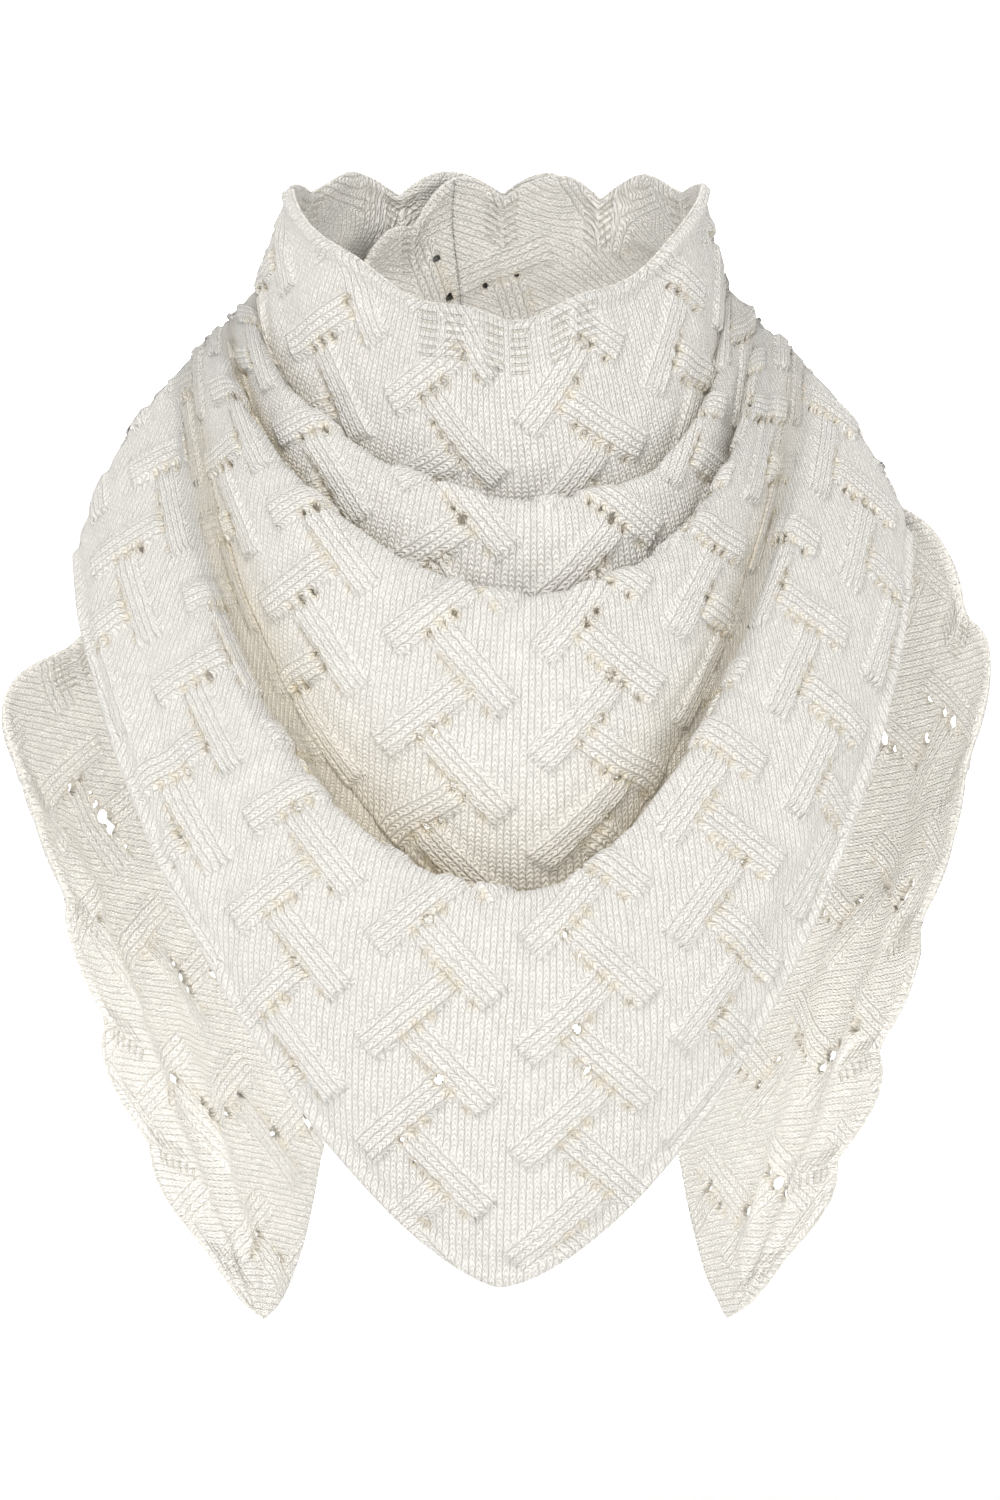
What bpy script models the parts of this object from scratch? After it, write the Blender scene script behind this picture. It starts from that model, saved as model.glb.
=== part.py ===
"""A hand-knit pointelle scarf in its worn form, hollow, with no wearer.

The scarf is one knitted triangle. The middle of its long scalloped edge lies across the front of the
neck and its point hangs on the chest as a bib. The cloth between them is too long for the drop, so it
hangs as three nested swags with open pockets behind their rims. The two ends go round the neck, cross
at the nape, and hang behind the shoulders with their scalloped edges outward.

Axes: +X to the right as seen from the front, -Y to the front, +Z up. The origin is the middle of the
neck opening. Lengths in the tables are millimetres, and MM turns them into metres.
"""

import math
from collections import namedtuple

import bmesh
import bpy
from mathutils import Vector

MM = 0.001

# Cloth
WALL = 2.4 * MM
SEAM_GAP = 0.3 * MM
EYELET = 5.0 * MM
EYELET_MARGIN = 2.0 * MM
EYELET_REPEAT = 4

# Scalloped long edge
SCALLOP_HEIGHT = 11.0 * MM
SCALLOP_REST = 0.6
SCALLOP_DEPTH = 0.3

# Soft gathers that run along the wraps, around the neck
GATHER_WAVES = 3
GATHER_HEIGHT = 2.5 * MM

# Cells across each piece
COLLAR_COLUMNS = 28
COWL_COLUMNS = 36
BIB_COLUMNS = 44
BAND_COLUMNS = 13
SHOULDER_STEPS = 6
SCALLOP_STEPS = 4
NAPE_STATION = 3
NAPE_SPAN = 0.1
STATION_SPACING = 50.0 * MM
SIDE_DEPTH = 4.0

# A swag row hangs from a left and a right shoulder point to its lowest point at the centre.
# The bend columns are superellipse exponents: low is a V, high is a U.
Swag = namedtuple("Swag", "name mid_x mid_z mid_y left_x left_z right_x right_z left_bend right_bend steps")

COLLAR_ROWS = [
    Swag("neck edge", 2, -30, -88, -88, 27, 86, 27, 1.55, 1.6, 3),
    Swag("upper collar", 4, -62, -92, -94, 10, 88, 12, 1.6, 1.8, 3),
    Swag("lower collar", 8, -95, -95, -98, -4, 90, 0, 1.65, 2.0, 2),
    Swag("first valley", 12, -124, -97, -101, -15, 92, -10, 1.7, 2.1, 0),
]

COWL_ROWS = [
    Swag("first valley seam", 12, -124.3, -97, -101.1, -15.3, 92.1, -10.3, 1.7, 2.1, 1),
    Swag("first valley floor", 12, -131, -101, -102, -17, 93, -12, 1.7, 2.2, 1),
    Swag("first rim, back", 12, -120, -106, -103.5, -19, 94.5, -14, 1.7, 2.25, 1),
    Swag("first rim", 12, -106, -112, -105.5, -21, 96.5, -17, 1.7, 2.3, 1),
    Swag("first rim, front", 12, -112, -121, -108, -23, 99, -20, 1.7, 2.3, 2),
    Swag("first face", 12, -140, -124, -110, -25, 101.5, -22.5, 1.65, 2.2, 2),
    Swag("second valley", 12, -167, -122, -112, -27, 104, -25, 1.6, 2.1, 1),
    Swag("second valley floor", 12, -174, -126, -113.5, -28.5, 105, -26.5, 1.6, 2.1, 1),
    Swag("second rim, back", 12, -161, -131, -115, -30, 106.5, -28.5, 1.62, 2.05, 1),
    Swag("second rim", 12, -145, -138, -117, -32.5, 108.5, -31, 1.64, 2.0, 1),
    Swag("second rim, front", 12, -152, -149, -119.5, -35, 111, -33.5, 1.64, 1.95, 2),
    Swag("belly top", 11, -186, -153, -122, -38, 114, -36, 1.65, 1.8, 3),
    Swag("belly", 10, -234, -153, -125, -41, 118, -39, 1.65, 1.6, 3),
    Swag("third valley", 10, -278, -147, -128, -44, 121, -42, 1.6, 1.5, 0),
]

BIB_ROWS = [
    Swag("third valley seam", 10, -278.3, -147, -128.2, -44.3, 121.2, -42.3, 1.6, 1.5, 1),
    Swag("third valley floor", 10, -288, -152, -129.5, -46, 123, -44, 1.65, 1.52, 1),
    Swag("third rim, back", 10, -280, -160, -131.5, -48, 125.5, -46.5, 1.8, 1.58, 1),
    Swag("third rim", 9, -265, -168, -134, -50.5, 128.5, -49.5, 1.95, 1.65, 1),
    Swag("third rim, front", 8, -272, -178, -138, -55, 133, -54, 1.95, 1.65, 2),
    Swag("bib top", 6, -305, -182, -147, -66, 143, -65, 1.85, 1.7, 3),
    Swag("bib", 3, -345, -180, -160, -86, 156, -84, 1.7, 1.65, 3),
    Swag("bib foot", 1, -385, -174, -171, -108, 166, -103, 1.55, 1.6, 3),
    Swag("plain edge", 0, -425, -166, -179, -131, 173, -123, 1.42, 1.55, 0),
]

# A station crosses a wrap from the scalloped edge (top) to the plain edge (hem), one per scallop.
Station = namedtuple("Station", "name top middle hem")

OUTER_STATIONS = [
    Station("left shoulder blade", (-64, 60, 30), (-78, 74, -30), (-140, 86, -150)),
    Station("left of the nape", (-22, 85, 31), (-30, 102, -38), (-72, 124, -165)),
    Station("right of the nape", (24, 87, 30), (14, 110, -48), (-22, 133, -190)),
    Station("leaving the collar", (66, 80, 6), (48, 115, -80), (4, 137, -238)),
    Station("upper shoulder", (108, 66, -32), (82, 116, -125), (32, 132, -290)),
    Station("shoulder", (150, 48, -78), (116, 106, -170), (56, 123, -334)),
    Station("outer shoulder", (186, 33, -126), (144, 92, -212), (70, 114, -362)),
    Station("widest scallop", (206, 25, -176), (162, 78, -255), (77, 106, -385)),
    Station("second scallop", (190, 24, -250), (152, 68, -300), (81, 100, -405)),
    Station("third scallop", (173, 28, -308), (138, 62, -345), (85, 94, -422)),
    Station("fourth scallop", (157, 34, -359), (124, 60, -385), (89, 89, -436)),
    Station("last scallop", (136, 44, -407), (112, 62, -420), (94, 84, -446)),
    Station("tip", (108, 64, -446), (103, 69, -450), (98, 75, -453.5)),
]

INNER_STATIONS = [
    Station("right shoulder blade", (62, 58, 29), (74, 70, -30), (130, 76, -146)),
    Station("right of the nape", (24, 78, 29), (30, 92, -38), (70, 112, -160)),
    Station("left of the nape", (-20, 78, 28), (-12, 97, -48), (22, 120, -185)),
    Station("leaving the collar", (-52, 63, 2), (-44, 95, -80), (-2, 123, -234)),
    Station("upper shoulder", (-78, 60, -36), (-72, 96, -125), (-30, 119, -288)),
    Station("shoulder", (-110, 54, -84), (-104, 92, -168), (-54, 112, -334)),
    Station("outer shoulder", (-150, 34, -135), (-138, 80, -212), (-70, 104, -362)),
    Station("widest scallop", (-207, 18, -189), (-165, 66, -258), (-77, 98, -386)),
    Station("second scallop", (-194, 18, -244), (-154, 60, -302), (-81, 93, -406)),
    Station("third scallop", (-179, 22, -294), (-141, 56, -340), (-85, 88, -423)),
    Station("fourth scallop", (-163, 28, -349), (-127, 55, -382), (-90, 84, -437)),
    Station("last scallop", (-140, 38, -401), (-114, 57, -418), (-95, 79, -447)),
    Station("tip", (-110, 60, -446), (-106, 65, -450), (-101, 70, -453.5)),
]

CREAM = (0.905, 0.875, 0.815, 1.0)
ROUGHNESS = 0.92


def clear_scene():
    """Remove every object of the open scene."""
    for thing in list(bpy.data.objects):
        bpy.data.objects.remove(thing, do_unlink=True)


def wool(name, shade):
    """Soft cream wool, a little darker on the pieces further in."""
    material = bpy.data.materials.new(name)
    material.use_nodes = True
    shader = material.node_tree.nodes["Principled BSDF"]
    red, green, blue, alpha = CREAM
    shader.inputs["Base Color"].default_value = (red * shade, green * shade, blue * shade, alpha)
    shader.inputs["Roughness"].default_value = ROUGHNESS
    shader.inputs["Metallic"].default_value = 0.0
    return material


def through(points, place):
    """The point at a place, counted in points, on a smooth curve through a list of points."""
    last = len(points) - 1
    index = min(int(place), last - 1)
    part = place - index
    here, there = points[index], points[index + 1]
    before = points[index - 1] if index > 0 else here * 2 - there
    after = points[index + 2] if index + 2 <= last else there * 2 - here
    start_pull, end_pull = (there - before) / 2, (after - here) / 2
    return (here * (2 * part ** 3 - 3 * part ** 2 + 1) + start_pull * (part ** 3 - 2 * part ** 2 + part)
            + there * (3 * part ** 2 - 2 * part ** 3) + end_pull * (part ** 3 - part ** 2))


def swag_point(row, across):
    """A point of a hanging row, with across from -1 at the left shoulder to 1 at the right one."""
    left = across < 0
    end_x, end_z, bend = ((row.left_x, row.left_z, row.left_bend) if left
                          else (row.right_x, row.right_z, row.right_bend))
    reach = min(math.sin(abs(across) * math.pi / 2), 1.0)
    lift = 1.0 - max(1.0 - reach ** bend, 0.0) ** (1.0 / bend)
    return Vector((row.mid_x + (end_x - row.mid_x) * reach,
                   SIDE_DEPTH + (row.mid_y - SIDE_DEPTH) * math.sqrt(1.0 - reach ** 2),
                   row.mid_z + (end_z - row.mid_z) * lift)) * MM


def swag_grid(rows, columns):
    """Rows of points over a piece that hangs across the front."""
    places = [index + step / row.steps for index, row in enumerate(rows) for step in range(row.steps)]
    places.append(len(rows) - 1)
    grid = [[] for _ in places]
    for column in range(columns + 1):
        keys = [swag_point(row, 2.0 * column / columns - 1.0) for row in rows]
        for line, place in zip(grid, places):
            line.append(through(keys, place))
    return grid


def shoulder_line(side):
    """The line over one shoulder where the front pieces pass into a wrap, neck edge first."""
    line = [swag_point(row, side) for row in COLLAR_ROWS + COWL_ROWS + BIB_ROWS]
    reach = [0.0]
    for here, there in zip(line, line[1:]):
        reach.append(reach[-1] + (there - here).length)
    points = []
    for column in range(BAND_COLUMNS + 1):
        wanted = reach[-1] * column / BAND_COLUMNS
        index = max(i for i in range(len(line) - 1) if reach[i] <= wanted + 1e-9)
        part = (wanted - reach[index]) / (reach[index + 1] - reach[index])
        points.append(line[index].lerp(line[index + 1], part) + Vector((0, SEAM_GAP, 0)))
    return points


def mirrored_line(line, other):
    """The other line mirrored in Y about the first one, so that a wrap leaves it straight back."""
    return [Vector((there.x, 2 * here.y - there.y, there.z)) for here, there in zip(line, other)]


def station_point(station, depth):
    """A point across a wrap, on the parabola through its top, middle and hem."""
    top, middle, hem = (Vector(point) * MM for point in (station.top, station.middle, station.hem))
    return (top * (2 * (depth - 0.5) * (depth - 1)) + middle * (4 * depth * (1 - depth))
            + hem * (2 * depth * (depth - 0.5)))


def scallop(place, depth):
    """How far the scalloped edge stands out at a place along it, fading down the cloth."""
    fade = max(1.0 - depth / SCALLOP_DEPTH, 0.0) ** 2
    return SCALLOP_HEIGHT * (abs(math.cos(math.pi * place)) - SCALLOP_REST) * fade


def band_line(stations, side, place):
    """Points across a wrap at a place along it, counted in stations from the shoulder line."""
    keys = [shoulder_line(side)]
    keys += [[station_point(station, column / BAND_COLUMNS) for column in range(BAND_COLUMNS + 1)]
             for station in stations]
    keys.insert(0, mirrored_line(keys[0], keys[1]))
    line = [through([key[column] for key in keys], place + 1) for column in range(BAND_COLUMNS + 1)]
    upward = (line[0] - line[2]).normalized()
    settled = min(place, 1.0) * min((len(stations) - place) / 2, 1.0)
    shaped = []
    for column, point in enumerate(line):
        depth = column / BAND_COLUMNS
        outward = Vector((point.x, point.y, 0)).normalized()
        wave = math.sin(2 * math.pi * GATHER_WAVES * depth) * math.sin(math.pi * depth)
        shaped.append(point + upward * scallop(place, depth) * settled
                      + outward * wave * GATHER_HEIGHT * settled)
    return shaped


def band_grid(stations, side, first, last):
    """Rows of points along a wrap between two places."""
    steps = [place / SHOULDER_STEPS for place in range(SHOULDER_STEPS)]
    steps += [1 + step / SCALLOP_STEPS for step in range((len(stations) - 1) * SCALLOP_STEPS + 1)]
    inside = [step for step in steps if first < step < last]
    return [band_line(stations, side, place) for place in [first] + inside + [last]]


def nape_pull(stations, side):
    """The directions in which a wrap crosses its seam at the nape, one for each point."""
    before = band_line(stations, side, NAPE_STATION - NAPE_SPAN)
    after = band_line(stations, side, NAPE_STATION + NAPE_SPAN)
    return [there - here for here, there in zip(before, after)]


def outward_directions(grid, flip, first=None, last=None, sides=None):
    """Unit normals on a grid of points.

    first, last and sides give the directions in which the cloth crosses a seam at the first row, the
    last row and both side columns, so that two pieces have the same normals along a shared seam.
    """
    rows, columns = len(grid), len(grid[0])
    normals = []
    for row in range(rows):
        line = []
        for column in range(columns):
            down = grid[min(row + 1, rows - 1)][column] - grid[max(row - 1, 0)][column]
            along = grid[row][min(column + 1, columns - 1)] - grid[row][max(column - 1, 0)]
            if row == 0 and first:
                down = first[column]
            if row == rows - 1 and last:
                down = last[column]
            if column == 0 and sides:
                along = -sides
            if column == columns - 1 and sides:
                along = sides
            line.append(down.cross(along).normalized() * (-1 if flip else 1))
        normals.append(line)
    return normals


def eyelet_cell(row, column):
    """Whether a cell holds the largest eyelet of its motif, in a half-drop repeat."""
    half = EYELET_REPEAT // 2
    if row % half != 1:
        return False
    drop = half if row % EYELET_REPEAT == 1 else 0
    return column % EYELET_REPEAT == (1 + drop) % EYELET_REPEAT


def side_lengths(corners):
    """The lengths of a cell's four sides."""
    return [(corners[index] - corners[index - 1]).length for index in range(4)]


def ring(mesh, corners, inner_corners, flip):
    """Four faces between a cell's corners and the corners of its eyelet."""
    for index in range(4):
        face = [corners[index - 1], corners[index], inner_corners[index], inner_corners[index - 1]]
        mesh.faces.new(face[::-1] if flip else face)


def cloth(name, grid, normals, flip, shade, collection):
    """A knitted wall under a grid of outer points, closed at its borders, with eyelets cut through."""
    mesh = bmesh.new()
    outer = [[mesh.verts.new(point) for point in line] for line in grid]
    inner = [[mesh.verts.new(point - normal * WALL) for point, normal in zip(line, directions)]
             for line, directions in zip(grid, normals)]
    rows, columns = len(grid) - 1, len(grid[0]) - 1
    for row in range(rows):
        for column in range(columns):
            cell = ((row, column), (row + 1, column), (row + 1, column + 1), (row, column + 1))
            faces = [[layer[r][c] for r, c in cell] for layer in (outer, inner)]
            sides = side_lengths([vert.co for vert in faces[0]])
            border = row in (0, rows - 1) or column in (0, columns - 1)
            if not eyelet_cell(row, column) or border or min(sides) < EYELET + 2 * EYELET_MARGIN:
                mesh.faces.new(faces[0][::-1] if flip else faces[0])
                mesh.faces.new(faces[1] if flip else faces[1][::-1])
                continue
            share = EYELET * len(sides) / sum(sides)
            holes = []
            for corners in faces:
                middle = sum((vert.co for vert in corners), Vector()) / len(corners)
                holes.append([mesh.verts.new(middle.lerp(vert.co, share)) for vert in corners])
            ring(mesh, faces[0], holes[0], flip)
            ring(mesh, faces[1], holes[1], not flip)
            ring(mesh, holes[0], holes[1], flip)
    close_border(mesh, outer, inner, flip)
    data = bpy.data.meshes.new(name)
    mesh.to_mesh(data)
    mesh.free()
    data.materials.append(wool(name + "_wool", shade))
    data.shade_smooth()
    collection.objects.link(bpy.data.objects.new(name, data))


def close_border(mesh, outer, inner, flip):
    """Close the wall between its two layers, all the way round."""
    rows, columns = len(outer) - 1, len(outer[0]) - 1
    path = [(row, 0) for row in range(rows)] + [(rows, column) for column in range(columns)]
    path += [(row, columns) for row in range(rows, 0, -1)] + [(0, column) for column in range(columns, 0, -1)]
    for index, (row, column) in enumerate(path):
        last_row, last_column = path[index - 1]
        face = [outer[row][column], outer[last_row][last_column], inner[last_row][last_column],
                inner[row][column]]
        mesh.faces.new(face[::-1] if flip else face)


def valley_pull(upper, lower, columns):
    """The directions in which the cloth crosses the seam between two front pieces."""
    above, below = swag_grid(upper, columns)[-2], swag_grid(lower, columns)[1]
    return [there - here for here, there in zip(above, below)]


def front_piece(name, rows, columns, above, below, shade, collection):
    """A stretch that hangs across the front, between the rows of the pieces above and below it."""
    grid = swag_grid(rows, columns)
    first = valley_pull(above, rows, columns) if above else None
    last = valley_pull(rows, below, columns) if below else None
    normals = outward_directions(grid, False, first, last, Vector((0, 1, 0)))
    cloth(name, grid, normals, False, shade, collection)


def wrap_piece(name, stations, side, first, last, shade, collection):
    """A stretch that goes round the back, between two places along it."""
    grid = band_grid(stations, side, first, last)
    back = [Vector((0, 1, 0))] * (BAND_COLUMNS + 1)
    nape = nape_pull(stations, side)
    flip = side > 0
    if first == 0:
        normals = outward_directions(grid, flip, back, nape)
    else:
        normals = outward_directions(grid, flip, nape, None)
    cloth(name, grid, normals, flip, shade, collection)


def build():
    """Build the whole scarf, one object for each stretch of cloth that shows."""
    clear_scene()
    scarf = bpy.data.collections.new("pointelle_scarf")
    bpy.context.scene.collection.children.link(scarf)
    front_piece("front_collar", COLLAR_ROWS, COLLAR_COLUMNS, None, COWL_ROWS, 0.98, scarf)
    front_piece("front_cowl", COWL_ROWS, COWL_COLUMNS, COLLAR_ROWS, BIB_ROWS, 1.0, scarf)
    front_piece("front_bib", BIB_ROWS, BIB_COLUMNS, COWL_ROWS, None, 1.0, scarf)
    after_nape = NAPE_STATION + SEAM_GAP / STATION_SPACING
    tip = len(OUTER_STATIONS)
    wrap_piece("left_wrap", OUTER_STATIONS, -1, 0, NAPE_STATION, 0.96, scarf)
    wrap_piece("right_end", OUTER_STATIONS, -1, after_nape, tip, 0.97, scarf)
    wrap_piece("right_wrap", INNER_STATIONS, 1, 0, NAPE_STATION, 0.94, scarf)
    wrap_piece("left_end", INNER_STATIONS, 1, after_nape, tip, 0.97, scarf)


build()
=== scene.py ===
"""The look of a hand-knit pointelle scarf in its worn form, hollow and open at the neck.

The forms are the ones of the part: three nested swags across the front and two wraps that cross at the
nape and hang behind the shoulders. Here each stretch gets its knit: a lattice of herringbone bricks with
raised ribs and eyelets, a scalloped border, rolled edges, edge stitches, nap and a few soft creases.

Lengths are millimetres until a mesh is made, and MM turns them into metres. -Y is the front.
"""

import logging
import math
from dataclasses import dataclass, field
from enum import Enum
from typing import Sequence

import bpy
import numpy as np
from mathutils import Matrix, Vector


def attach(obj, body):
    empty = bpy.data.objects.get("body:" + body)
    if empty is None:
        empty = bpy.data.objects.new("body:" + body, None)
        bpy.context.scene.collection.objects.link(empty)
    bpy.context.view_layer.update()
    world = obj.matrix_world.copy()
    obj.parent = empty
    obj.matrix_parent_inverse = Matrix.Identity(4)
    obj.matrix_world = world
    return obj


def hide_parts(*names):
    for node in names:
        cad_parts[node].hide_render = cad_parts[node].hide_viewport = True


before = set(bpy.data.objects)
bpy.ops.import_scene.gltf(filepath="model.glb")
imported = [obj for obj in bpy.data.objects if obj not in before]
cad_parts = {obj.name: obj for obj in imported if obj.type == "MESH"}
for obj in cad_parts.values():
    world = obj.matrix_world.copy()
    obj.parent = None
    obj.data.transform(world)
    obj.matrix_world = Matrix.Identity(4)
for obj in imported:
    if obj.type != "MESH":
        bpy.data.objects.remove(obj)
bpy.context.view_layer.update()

LOG = logging.getLogger("scarf")
MM = 0.001
SIDE_DEPTH = 4.0
SEAM_GAP = 0.3
SLOT = "cream_wool"
LADDER_PITCH = 27.0
FAR = 99.0
NO_EDGE = 999.0


class Part(Enum):
    """The stretches of cloth, by the names of their solids."""

    COLLAR = "front_collar"
    COWL = "front_cowl"
    BIB = "front_bib"
    LEFT_WRAP = "left_wrap"
    RIGHT_WRAP = "right_wrap"
    RIGHT_END = "right_end"
    LEFT_END = "left_end"


@dataclass(frozen=True)
class Swag:
    """A row of cloth that hangs from a left and a right shoulder point to its middle."""

    name: str
    mid_x: float
    mid_z: float
    mid_y: float
    left_x: float
    left_z: float
    right_x: float
    right_z: float
    left_bend: float
    right_bend: float

    def curve(self, across: np.ndarray) -> np.ndarray:
        """Points of the row.

        Args:
            across: places from -1 at the left shoulder to 1 at the right one.

        Returns:
            One point for each place.
        """
        left = across < 0
        end_x = np.where(left, self.left_x, self.right_x)
        end_z = np.where(left, self.left_z, self.right_z)
        bend = np.where(left, self.left_bend, self.right_bend)
        reach = np.minimum(np.sin(np.abs(across) * math.pi / 2), 1.0)
        lift = 1.0 - np.maximum(1.0 - reach ** bend, 0.0) ** (1.0 / bend)
        return np.stack([
            self.mid_x + (end_x - self.mid_x) * reach,
            SIDE_DEPTH + (self.mid_y - SIDE_DEPTH) * np.sqrt(np.maximum(1.0 - reach ** 2, 0.0)),
            self.mid_z + (end_z - self.mid_z) * lift,
        ], axis=-1)


@dataclass(frozen=True)
class Station:
    """A line across a wrap, from the scalloped edge (top) to the plain edge (hem)."""

    name: str
    top: tuple[float, float, float]
    middle: tuple[float, float, float]
    hem: tuple[float, float, float]

    def curve(self, depths: np.ndarray) -> np.ndarray:
        """Points on the parabola through top, middle and hem at depths from 0 to 1."""
        depth = depths[:, None]
        top, middle, hem = (np.array(point, float) for point in (self.top, self.middle, self.hem))
        return (top * (2 * (depth - 0.5) * (depth - 1)) + middle * (4 * depth * (1 - depth))
                + hem * (2 * depth * (depth - 0.5)))


COLLAR_ROWS = [
    Swag("neck edge", 2, -30, -88, -88, 27, 86, 27, 1.55, 1.6),
    Swag("upper collar", 4, -62, -92, -94, 10, 88, 12, 1.6, 1.8),
    Swag("lower collar", 8, -95, -95, -98, -4, 90, 0, 1.65, 2.0),
    Swag("first valley", 12, -124, -97, -101, -15, 92, -10, 1.7, 2.1),
]

COWL_ROWS = [
    Swag("first valley seam", 12, -124.3, -97, -101.1, -15.3, 92.1, -10.3, 1.7, 2.1),
    Swag("first valley floor", 12, -131, -101, -102, -17, 93, -12, 1.7, 2.2),
    Swag("first rim, back", 12, -120, -106, -103.5, -19, 94.5, -14, 1.7, 2.25),
    Swag("first rim", 12, -106, -112, -105.5, -21, 96.5, -17, 1.7, 2.3),
    Swag("first rim, front", 12, -112, -121, -108, -23, 99, -20, 1.7, 2.3),
    Swag("first face", 12, -140, -124, -110, -25, 101.5, -22.5, 1.65, 2.2),
    Swag("second valley", 12, -167, -122, -112, -27, 104, -25, 1.6, 2.1),
    Swag("second valley floor", 12, -174, -126, -113.5, -28.5, 105, -26.5, 1.6, 2.1),
    Swag("second rim, back", 12, -161, -131, -115, -30, 106.5, -28.5, 1.62, 2.05),
    Swag("second rim", 12, -145, -138, -117, -32.5, 108.5, -31, 1.64, 2.0),
    Swag("second rim, front", 12, -152, -149, -119.5, -35, 111, -33.5, 1.64, 1.95),
    Swag("belly top", 11, -186, -153, -122, -38, 114, -36, 1.65, 1.8),
    Swag("belly", 10, -234, -153, -125, -41, 118, -39, 1.65, 1.6),
    Swag("third valley", 10, -278, -147, -128, -44, 121, -42, 1.6, 1.5),
]

BIB_ROWS = [
    Swag("third valley seam", 10, -278.3, -147, -128.2, -44.3, 121.2, -42.3, 1.6, 1.5),
    Swag("third valley floor", 10, -288, -152, -129.5, -46, 123, -44, 1.65, 1.52),
    Swag("third rim, back", 10, -280, -160, -131.5, -48, 125.5, -46.5, 1.8, 1.58),
    Swag("third rim", 9, -265, -168, -134, -50.5, 128.5, -49.5, 1.95, 1.65),
    Swag("third rim, front", 8, -272, -178, -138, -55, 133, -54, 1.95, 1.65),
    Swag("bib top", 6, -305, -182, -147, -66, 143, -65, 1.85, 1.7),
    Swag("bib", 3, -345, -180, -160, -86, 156, -84, 1.7, 1.65),
    Swag("bib foot", 1, -385, -174, -171, -108, 166, -103, 1.55, 1.6),
    Swag("plain edge", 0, -425, -166, -179, -131, 173, -123, 1.42, 1.55),
]

OUTER_STATIONS = [
    Station("left shoulder blade", (-64, 60, 30), (-78, 74, -30), (-140, 86, -150)),
    Station("left of the nape", (-22, 85, 31), (-30, 102, -38), (-72, 124, -165)),
    Station("right of the nape", (24, 87, 30), (14, 110, -48), (-22, 133, -190)),
    Station("leaving the collar", (66, 80, 6), (48, 115, -80), (4, 137, -238)),
    Station("upper shoulder", (108, 66, -32), (82, 116, -125), (32, 132, -290)),
    Station("shoulder", (150, 48, -78), (116, 106, -170), (56, 123, -334)),
    Station("outer shoulder", (186, 33, -126), (144, 92, -212), (70, 114, -362)),
    Station("widest scallop", (206, 25, -176), (162, 78, -255), (77, 106, -385)),
    Station("second scallop", (190, 24, -250), (152, 68, -300), (81, 100, -405)),
    Station("third scallop", (173, 28, -308), (138, 62, -345), (85, 94, -422)),
    Station("fourth scallop", (157, 34, -359), (124, 60, -385), (89, 89, -436)),
    Station("last scallop", (136, 44, -407), (112, 62, -420), (94, 84, -446)),
    Station("tip", (108, 64, -446), (103, 69, -450), (98, 75, -453.5)),
]

INNER_STATIONS = [
    Station("right shoulder blade", (62, 58, 29), (74, 70, -30), (130, 76, -146)),
    Station("right of the nape", (24, 78, 29), (30, 92, -38), (70, 112, -160)),
    Station("left of the nape", (-20, 78, 28), (-12, 97, -48), (22, 120, -185)),
    Station("leaving the collar", (-52, 63, 2), (-44, 95, -80), (-2, 123, -234)),
    Station("upper shoulder", (-78, 60, -36), (-72, 96, -125), (-30, 119, -288)),
    Station("shoulder", (-110, 54, -84), (-104, 92, -168), (-54, 112, -334)),
    Station("outer shoulder", (-150, 34, -135), (-138, 80, -212), (-70, 104, -362)),
    Station("widest scallop", (-207, 18, -189), (-165, 66, -258), (-77, 98, -386)),
    Station("second scallop", (-194, 18, -244), (-154, 60, -302), (-81, 93, -406)),
    Station("third scallop", (-179, 22, -294), (-141, 56, -340), (-85, 88, -423)),
    Station("fourth scallop", (-163, 28, -349), (-127, 55, -382), (-90, 84, -437)),
    Station("last scallop", (-140, 38, -401), (-114, 57, -418), (-95, 79, -447)),
    Station("tip", (-110, 60, -446), (-106, 65, -450), (-101, 70, -453.5)),
]


def smooth_through(keys: np.ndarray, places: np.ndarray) -> np.ndarray:
    """Values at places, counted in keys, on a smooth curve through the keys.

    Args:
        keys: values along axis 0.
        places: places from 0 to the last key.

    Returns:
        The values, with the places along axis 0.
    """
    last = len(keys) - 1
    index = np.clip(places.astype(int), 0, last - 1)
    part = (places - index).reshape((-1,) + (1,) * (keys.ndim - 1))
    here, there = keys[index], keys[index + 1]
    before = np.where(index.reshape(part.shape) > 0, keys[np.maximum(index - 1, 0)], 2 * here - there)
    after = np.where(index.reshape(part.shape) + 2 <= last, keys[np.minimum(index + 2, last)],
                     2 * there - here)
    start_pull, end_pull = (there - before) / 2, (after - here) / 2
    return (here * (2 * part ** 3 - 3 * part ** 2 + 1) + start_pull * (part ** 3 - 2 * part ** 2 + part)
            + there * (3 * part ** 2 - 2 * part ** 3) + end_pull * (part ** 3 - part ** 2))


def unit(vectors: np.ndarray) -> np.ndarray:
    """Vectors along the last axis, made one long."""
    return vectors / np.maximum(np.linalg.norm(vectors, axis=-1, keepdims=True), 1e-9)


def soft_step(low: float, high: float, values: np.ndarray) -> np.ndarray:
    """A smooth rise from 0 at low to 1 at high."""
    part = np.clip((values - low) / (high - low), 0.0, 1.0)
    return part * part * (3 - 2 * part)


def bump_at(values: np.ndarray, centre: float, width: float) -> np.ndarray:
    """A soft hill of height 1 at a centre."""
    return np.exp(-((values - centre) / width) ** 2)


def reach_along(points: np.ndarray) -> np.ndarray:
    """The distance from the first point of a line to each of its points."""
    return np.concatenate([[0.0], np.cumsum(np.linalg.norm(np.diff(points, axis=0), axis=1))])


def reach_across(points: np.ndarray, axis: int) -> np.ndarray:
    """The distance of each point of a grid from the grid's first line, along one axis."""
    steps = np.linalg.norm(np.diff(points, axis=axis), axis=-1)
    return np.cumsum(np.pad(steps, ((1, 0), (0, 0)) if axis == 0 else ((0, 0), (1, 0))), axis=axis)


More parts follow.
